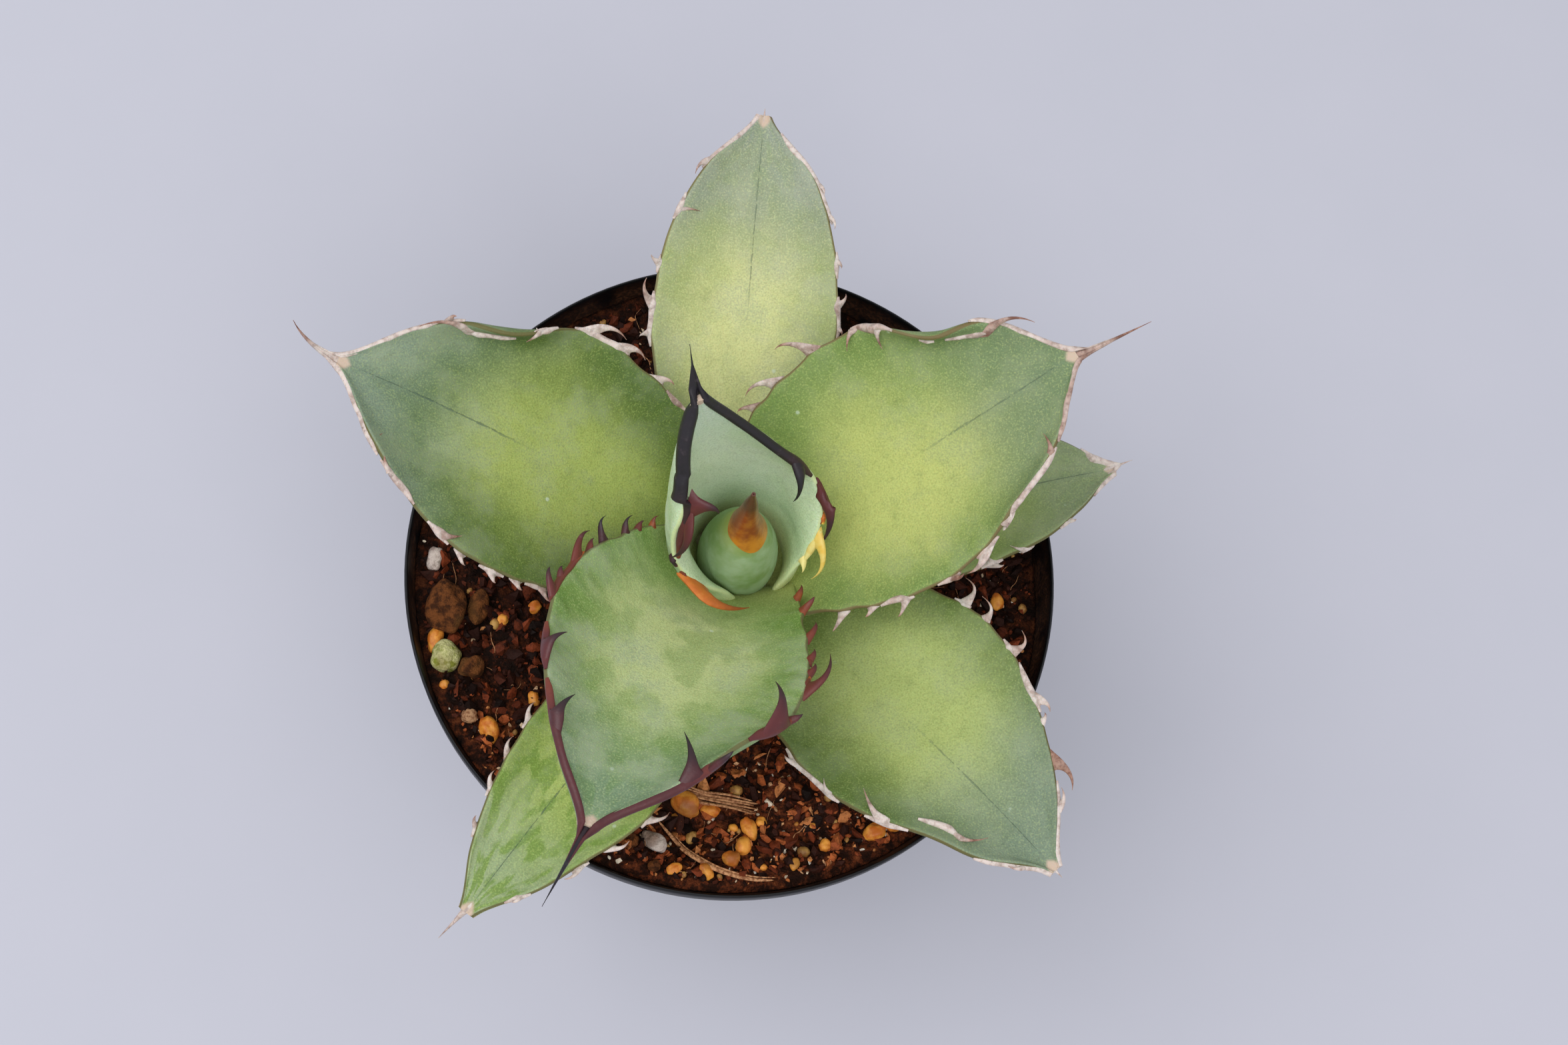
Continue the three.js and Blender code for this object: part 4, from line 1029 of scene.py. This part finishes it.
def ribbon(bm, layer, leaf, side, low, high, half_width, tint, inset, proud, loose, number):
    """A strip of horn that caps the margin from low to high; a loose one lifts off and twists."""
    steps = max(8, round((high - low) * leaf["length"] * 1.6))
    stations = []
    for k in range(steps + 1):
        s = low + (high - low) * k / steps
        edge, out, along, thin = margin_at(leaf, s, side, inset)
        flutter = noise.noise(edge / 3.4 + Vector((5 * number, 0, 0)))
        from_end = min(s - low, 1.03 - s if high == 1 else high - s) * leaf["length"]
        body = 0.2 + 0.8 * smooth(from_end, -0.4, 1.2 + 1.6 * half_width)
        near = near_tooth(leaf, side, s, 1.6)
        wide = half_width * body * (1 + 0.5 * loose * flutter + min(0.4, 0.25 / half_width) * near)
        tilt = (out + thin * (0.12 + loose * (0.3 + 0.9 * flutter))).normalized()
        raised = proud * (1 - smooth(s, low, low + 0.22) * (high == 1)) + 0.4 * loose * max(flutter, 0)
        middle = edge - out * (0.75 * wide - 0.25) + thin * (0.1 + raised)
        height = (0.5 + 0.42 * wide - 0.2 * loose) * (0.4 + 0.6 * body)
        stations.append((middle, tilt, along.cross(tilt).normalized(), wide, height))
    if high == 1:
        # it runs on into the spine's side
        root, reach, bow, across, up = spine_at(leaf)
        first = SPINE_SINK / reach.length
        for k in range(1, 6):
            t = first + (0.7 - first) * k / 5
            fade = 1 - k / 5.5
            middle = root + reach * t + bow * (4 * t * (1 - t))
            middle = middle + across * (side * 0.5 * fade) + up * 0.25 * fade
            share = across.dot(reach) * side / reach.length_squared
            wide_way = (across * side - reach * share).normalized()
            thin_way = reach.cross(wide_way).normalized()
            stations.append((middle, wide_way, thin_way, 0.75 * half_width * fade, 0.6 * fade))
    laid(bm, stations, HORN_SIDES, layer, (tint, 1))


young_horn = Finish("young_horn", Specular_IOR_Level=0.35, Coat_Weight=0.12, Coat_Roughness=0.3)
tint = young_horn.coordinate("X", "horn")
reach_up = young_horn.coordinate("Y", "horn")
fibre = young_horn.grain(1.4, 3, 0.6)
rooted = reach_up.within(1.35, 1) * reach_up.within(0.99, 1) * 0.2
tipped = reach_up.within(0.15, 0.85) * reach_up.within(1, 0.99) * tint.within(0.9, 0.55) * 0.22
stops = [
    (0, (34, 30, 36)), (0.2, (58, 34, 40)), (0.38, (92, 40, 42)), (0.58, (122, 58, 40)),
    (0.74, (204, 112, 44)), (0.9, (228, 186, 72)), (1, (236, 222, 142)),
]
shade = young_horn.node("ValToRGB", {0: tint + (fibre - 0.5) * 0.14 + rooted - tipped}, stops=stops)
shade = young_horn.mix(shade, (146, 136, 146), fibre.within(0.6, 0.8) * 0.1)
young_horn.lay(shade, 0.34 + 0.25 * fibre, height=fibre, depth=0.1)

dry_horn = Finish("dry_horn", Specular_IOR_Level=0.4, Subsurface_Weight=0.1, Subsurface_Scale=0.001)
tint = dry_horn.coordinate("X", "horn")
reach_up = dry_horn.coordinate("Y", "horn")
fibre = dry_horn.grain(1.1, 3, 0.6)
papery = dry_horn.mix((218, 204, 196), (174, 155, 145), fibre.within(0.38, 0.7))
brown = dry_horn.mix((168, 131, 114), (118, 79, 65), fibre.within(0.38, 0.65))
tipward = reach_up.within(0.4, 0.9) * reach_up.within(1, 0.99)
flaky = (tint + (dry_horn.grain(3.4) - 0.5) + tipward * 0.5).within(0.25, 1.05)
dark_spots = dry_horn.grain(0.7, 2, 0.5).within(0.66, 0.76)
shade = dry_horn.mix(dry_horn.mix(papery, brown, flaky), (96, 66, 58), dark_spots * 0.5)
dry_horn.lay(shade, 0.55 + 0.2 * fibre, height=fibre, depth=0.18)

SPINE_TINT = dict(leaf_1=0, leaf_2=0.08, leaf_3=0.65, leaf_4=0.5)
DRY_TINT = dict(leaf_3=(0.4, 0.8), leaf_4=(0.25, 0.6))
SPINE_SINK = 2.5
SPINE_SHARE = 0.985
FOOT_SINK = 0.3
draw = random.Random(31)
for number, (name, leaf) in enumerate(LEAVES.items()):
    young = name in SLOTS
    finish, loose, slim, thick = (young_horn, 0.1, 1, 1.3) if young else (dry_horn, 1, 0.75, 0.9)
    tints = DRY_TINT.get(name, (0, 0.5))
    bm = bmesh.new()
    layer = bm.loops.layers.uv.new("horn")
    for side, half in ((1, leaf["left"]), (-1, leaf["right"])):
        for low, high, half_width, *own in half["ribbons"]:
            usual = [(1.46 - low) / 2.2 if young else draw.uniform(*tints), 0, 0]
            own += usual[len(own):]
            ribbon(bm, layer, leaf, side, low, high, half_width, *own, loose, number)
        for at, forward, outward, lift, width, *own in half["teeth"]:
            usual = [0, (1.46 - at) / 2.2 if young else draw.uniform(*tints), 0, 0]
            bend, tint, inset, proud = own + usual[len(own):]
            edge, out, along, thin = margin_at(leaf, at, side, inset)
            root = edge - out * FOOT_SINK + thin * proud
            reach = along * forward + out * (outward + inset + FOOT_SINK) + thin * (lift - proud)
            bow = out * (0.22 * reach.length) + along * bend + thin * (0.05 * reach.length)
            horn(bm, layer, root, reach, bow, along, thin, width * slim, thick, tint)
    root, reach, bow, across, up = spine_at(leaf)
    horn(bm, layer, root, reach, bow, across, up, leaf["spine"][3] * 1.1, 1.6, SPINE_TINT.get(name, 0.1))
    piece(name + "_horn", bm, finish, sharp=60)

# Floor and light
# A plain pale table under a large soft light from above and left, with even light all round.
FLOOR_SIZE = 3
LIGHT_AIM = Vector((0, 0, 0.09))
# A light is (name, place, breadth in metres, watts).
LIGHTS = [("softbox", (-0.62, 0.02, 1.2), 1, 7), ("front", (0.15, -0.6, 1.25), 0.9, 5.5)]

ground = Finish("pale_table", Specular_IOR_Level=0.2)
faint = ground.grain(40, 4, 0.6)
ground.lay(ground.mix((190, 191, 202), (195, 195, 206), faint), 0.7 + 0.1 * faint)
table = bmesh.new()
bmesh.ops.create_grid(table, x_segments=1, y_segments=1, size=FLOOR_SIZE / 2)
floor = placed("floor", meshed("floor", table))
floor.data.materials.append(ground.material)

world = bpy.data.worlds.new("studio")
world.use_nodes = True
sky = world.node_tree.nodes["Background"]
sky.inputs["Color"].default_value = (0.95, 0.965, 1.0, 1)
sky.inputs["Strength"].default_value = 0.62
scene.world = world
scene.view_settings.view_transform = "Standard"
for name, place, size, power in LIGHTS:
    lamp = bpy.data.lights.new(name, "AREA")
    lamp.shape = "DISK"
    lamp.size = size
    lamp.energy = power
    light = placed(name, lamp)
    light.location = place
    light.rotation_euler = (LIGHT_AIM - Vector(place)).to_track_quat("-Z", "Y").to_euler()
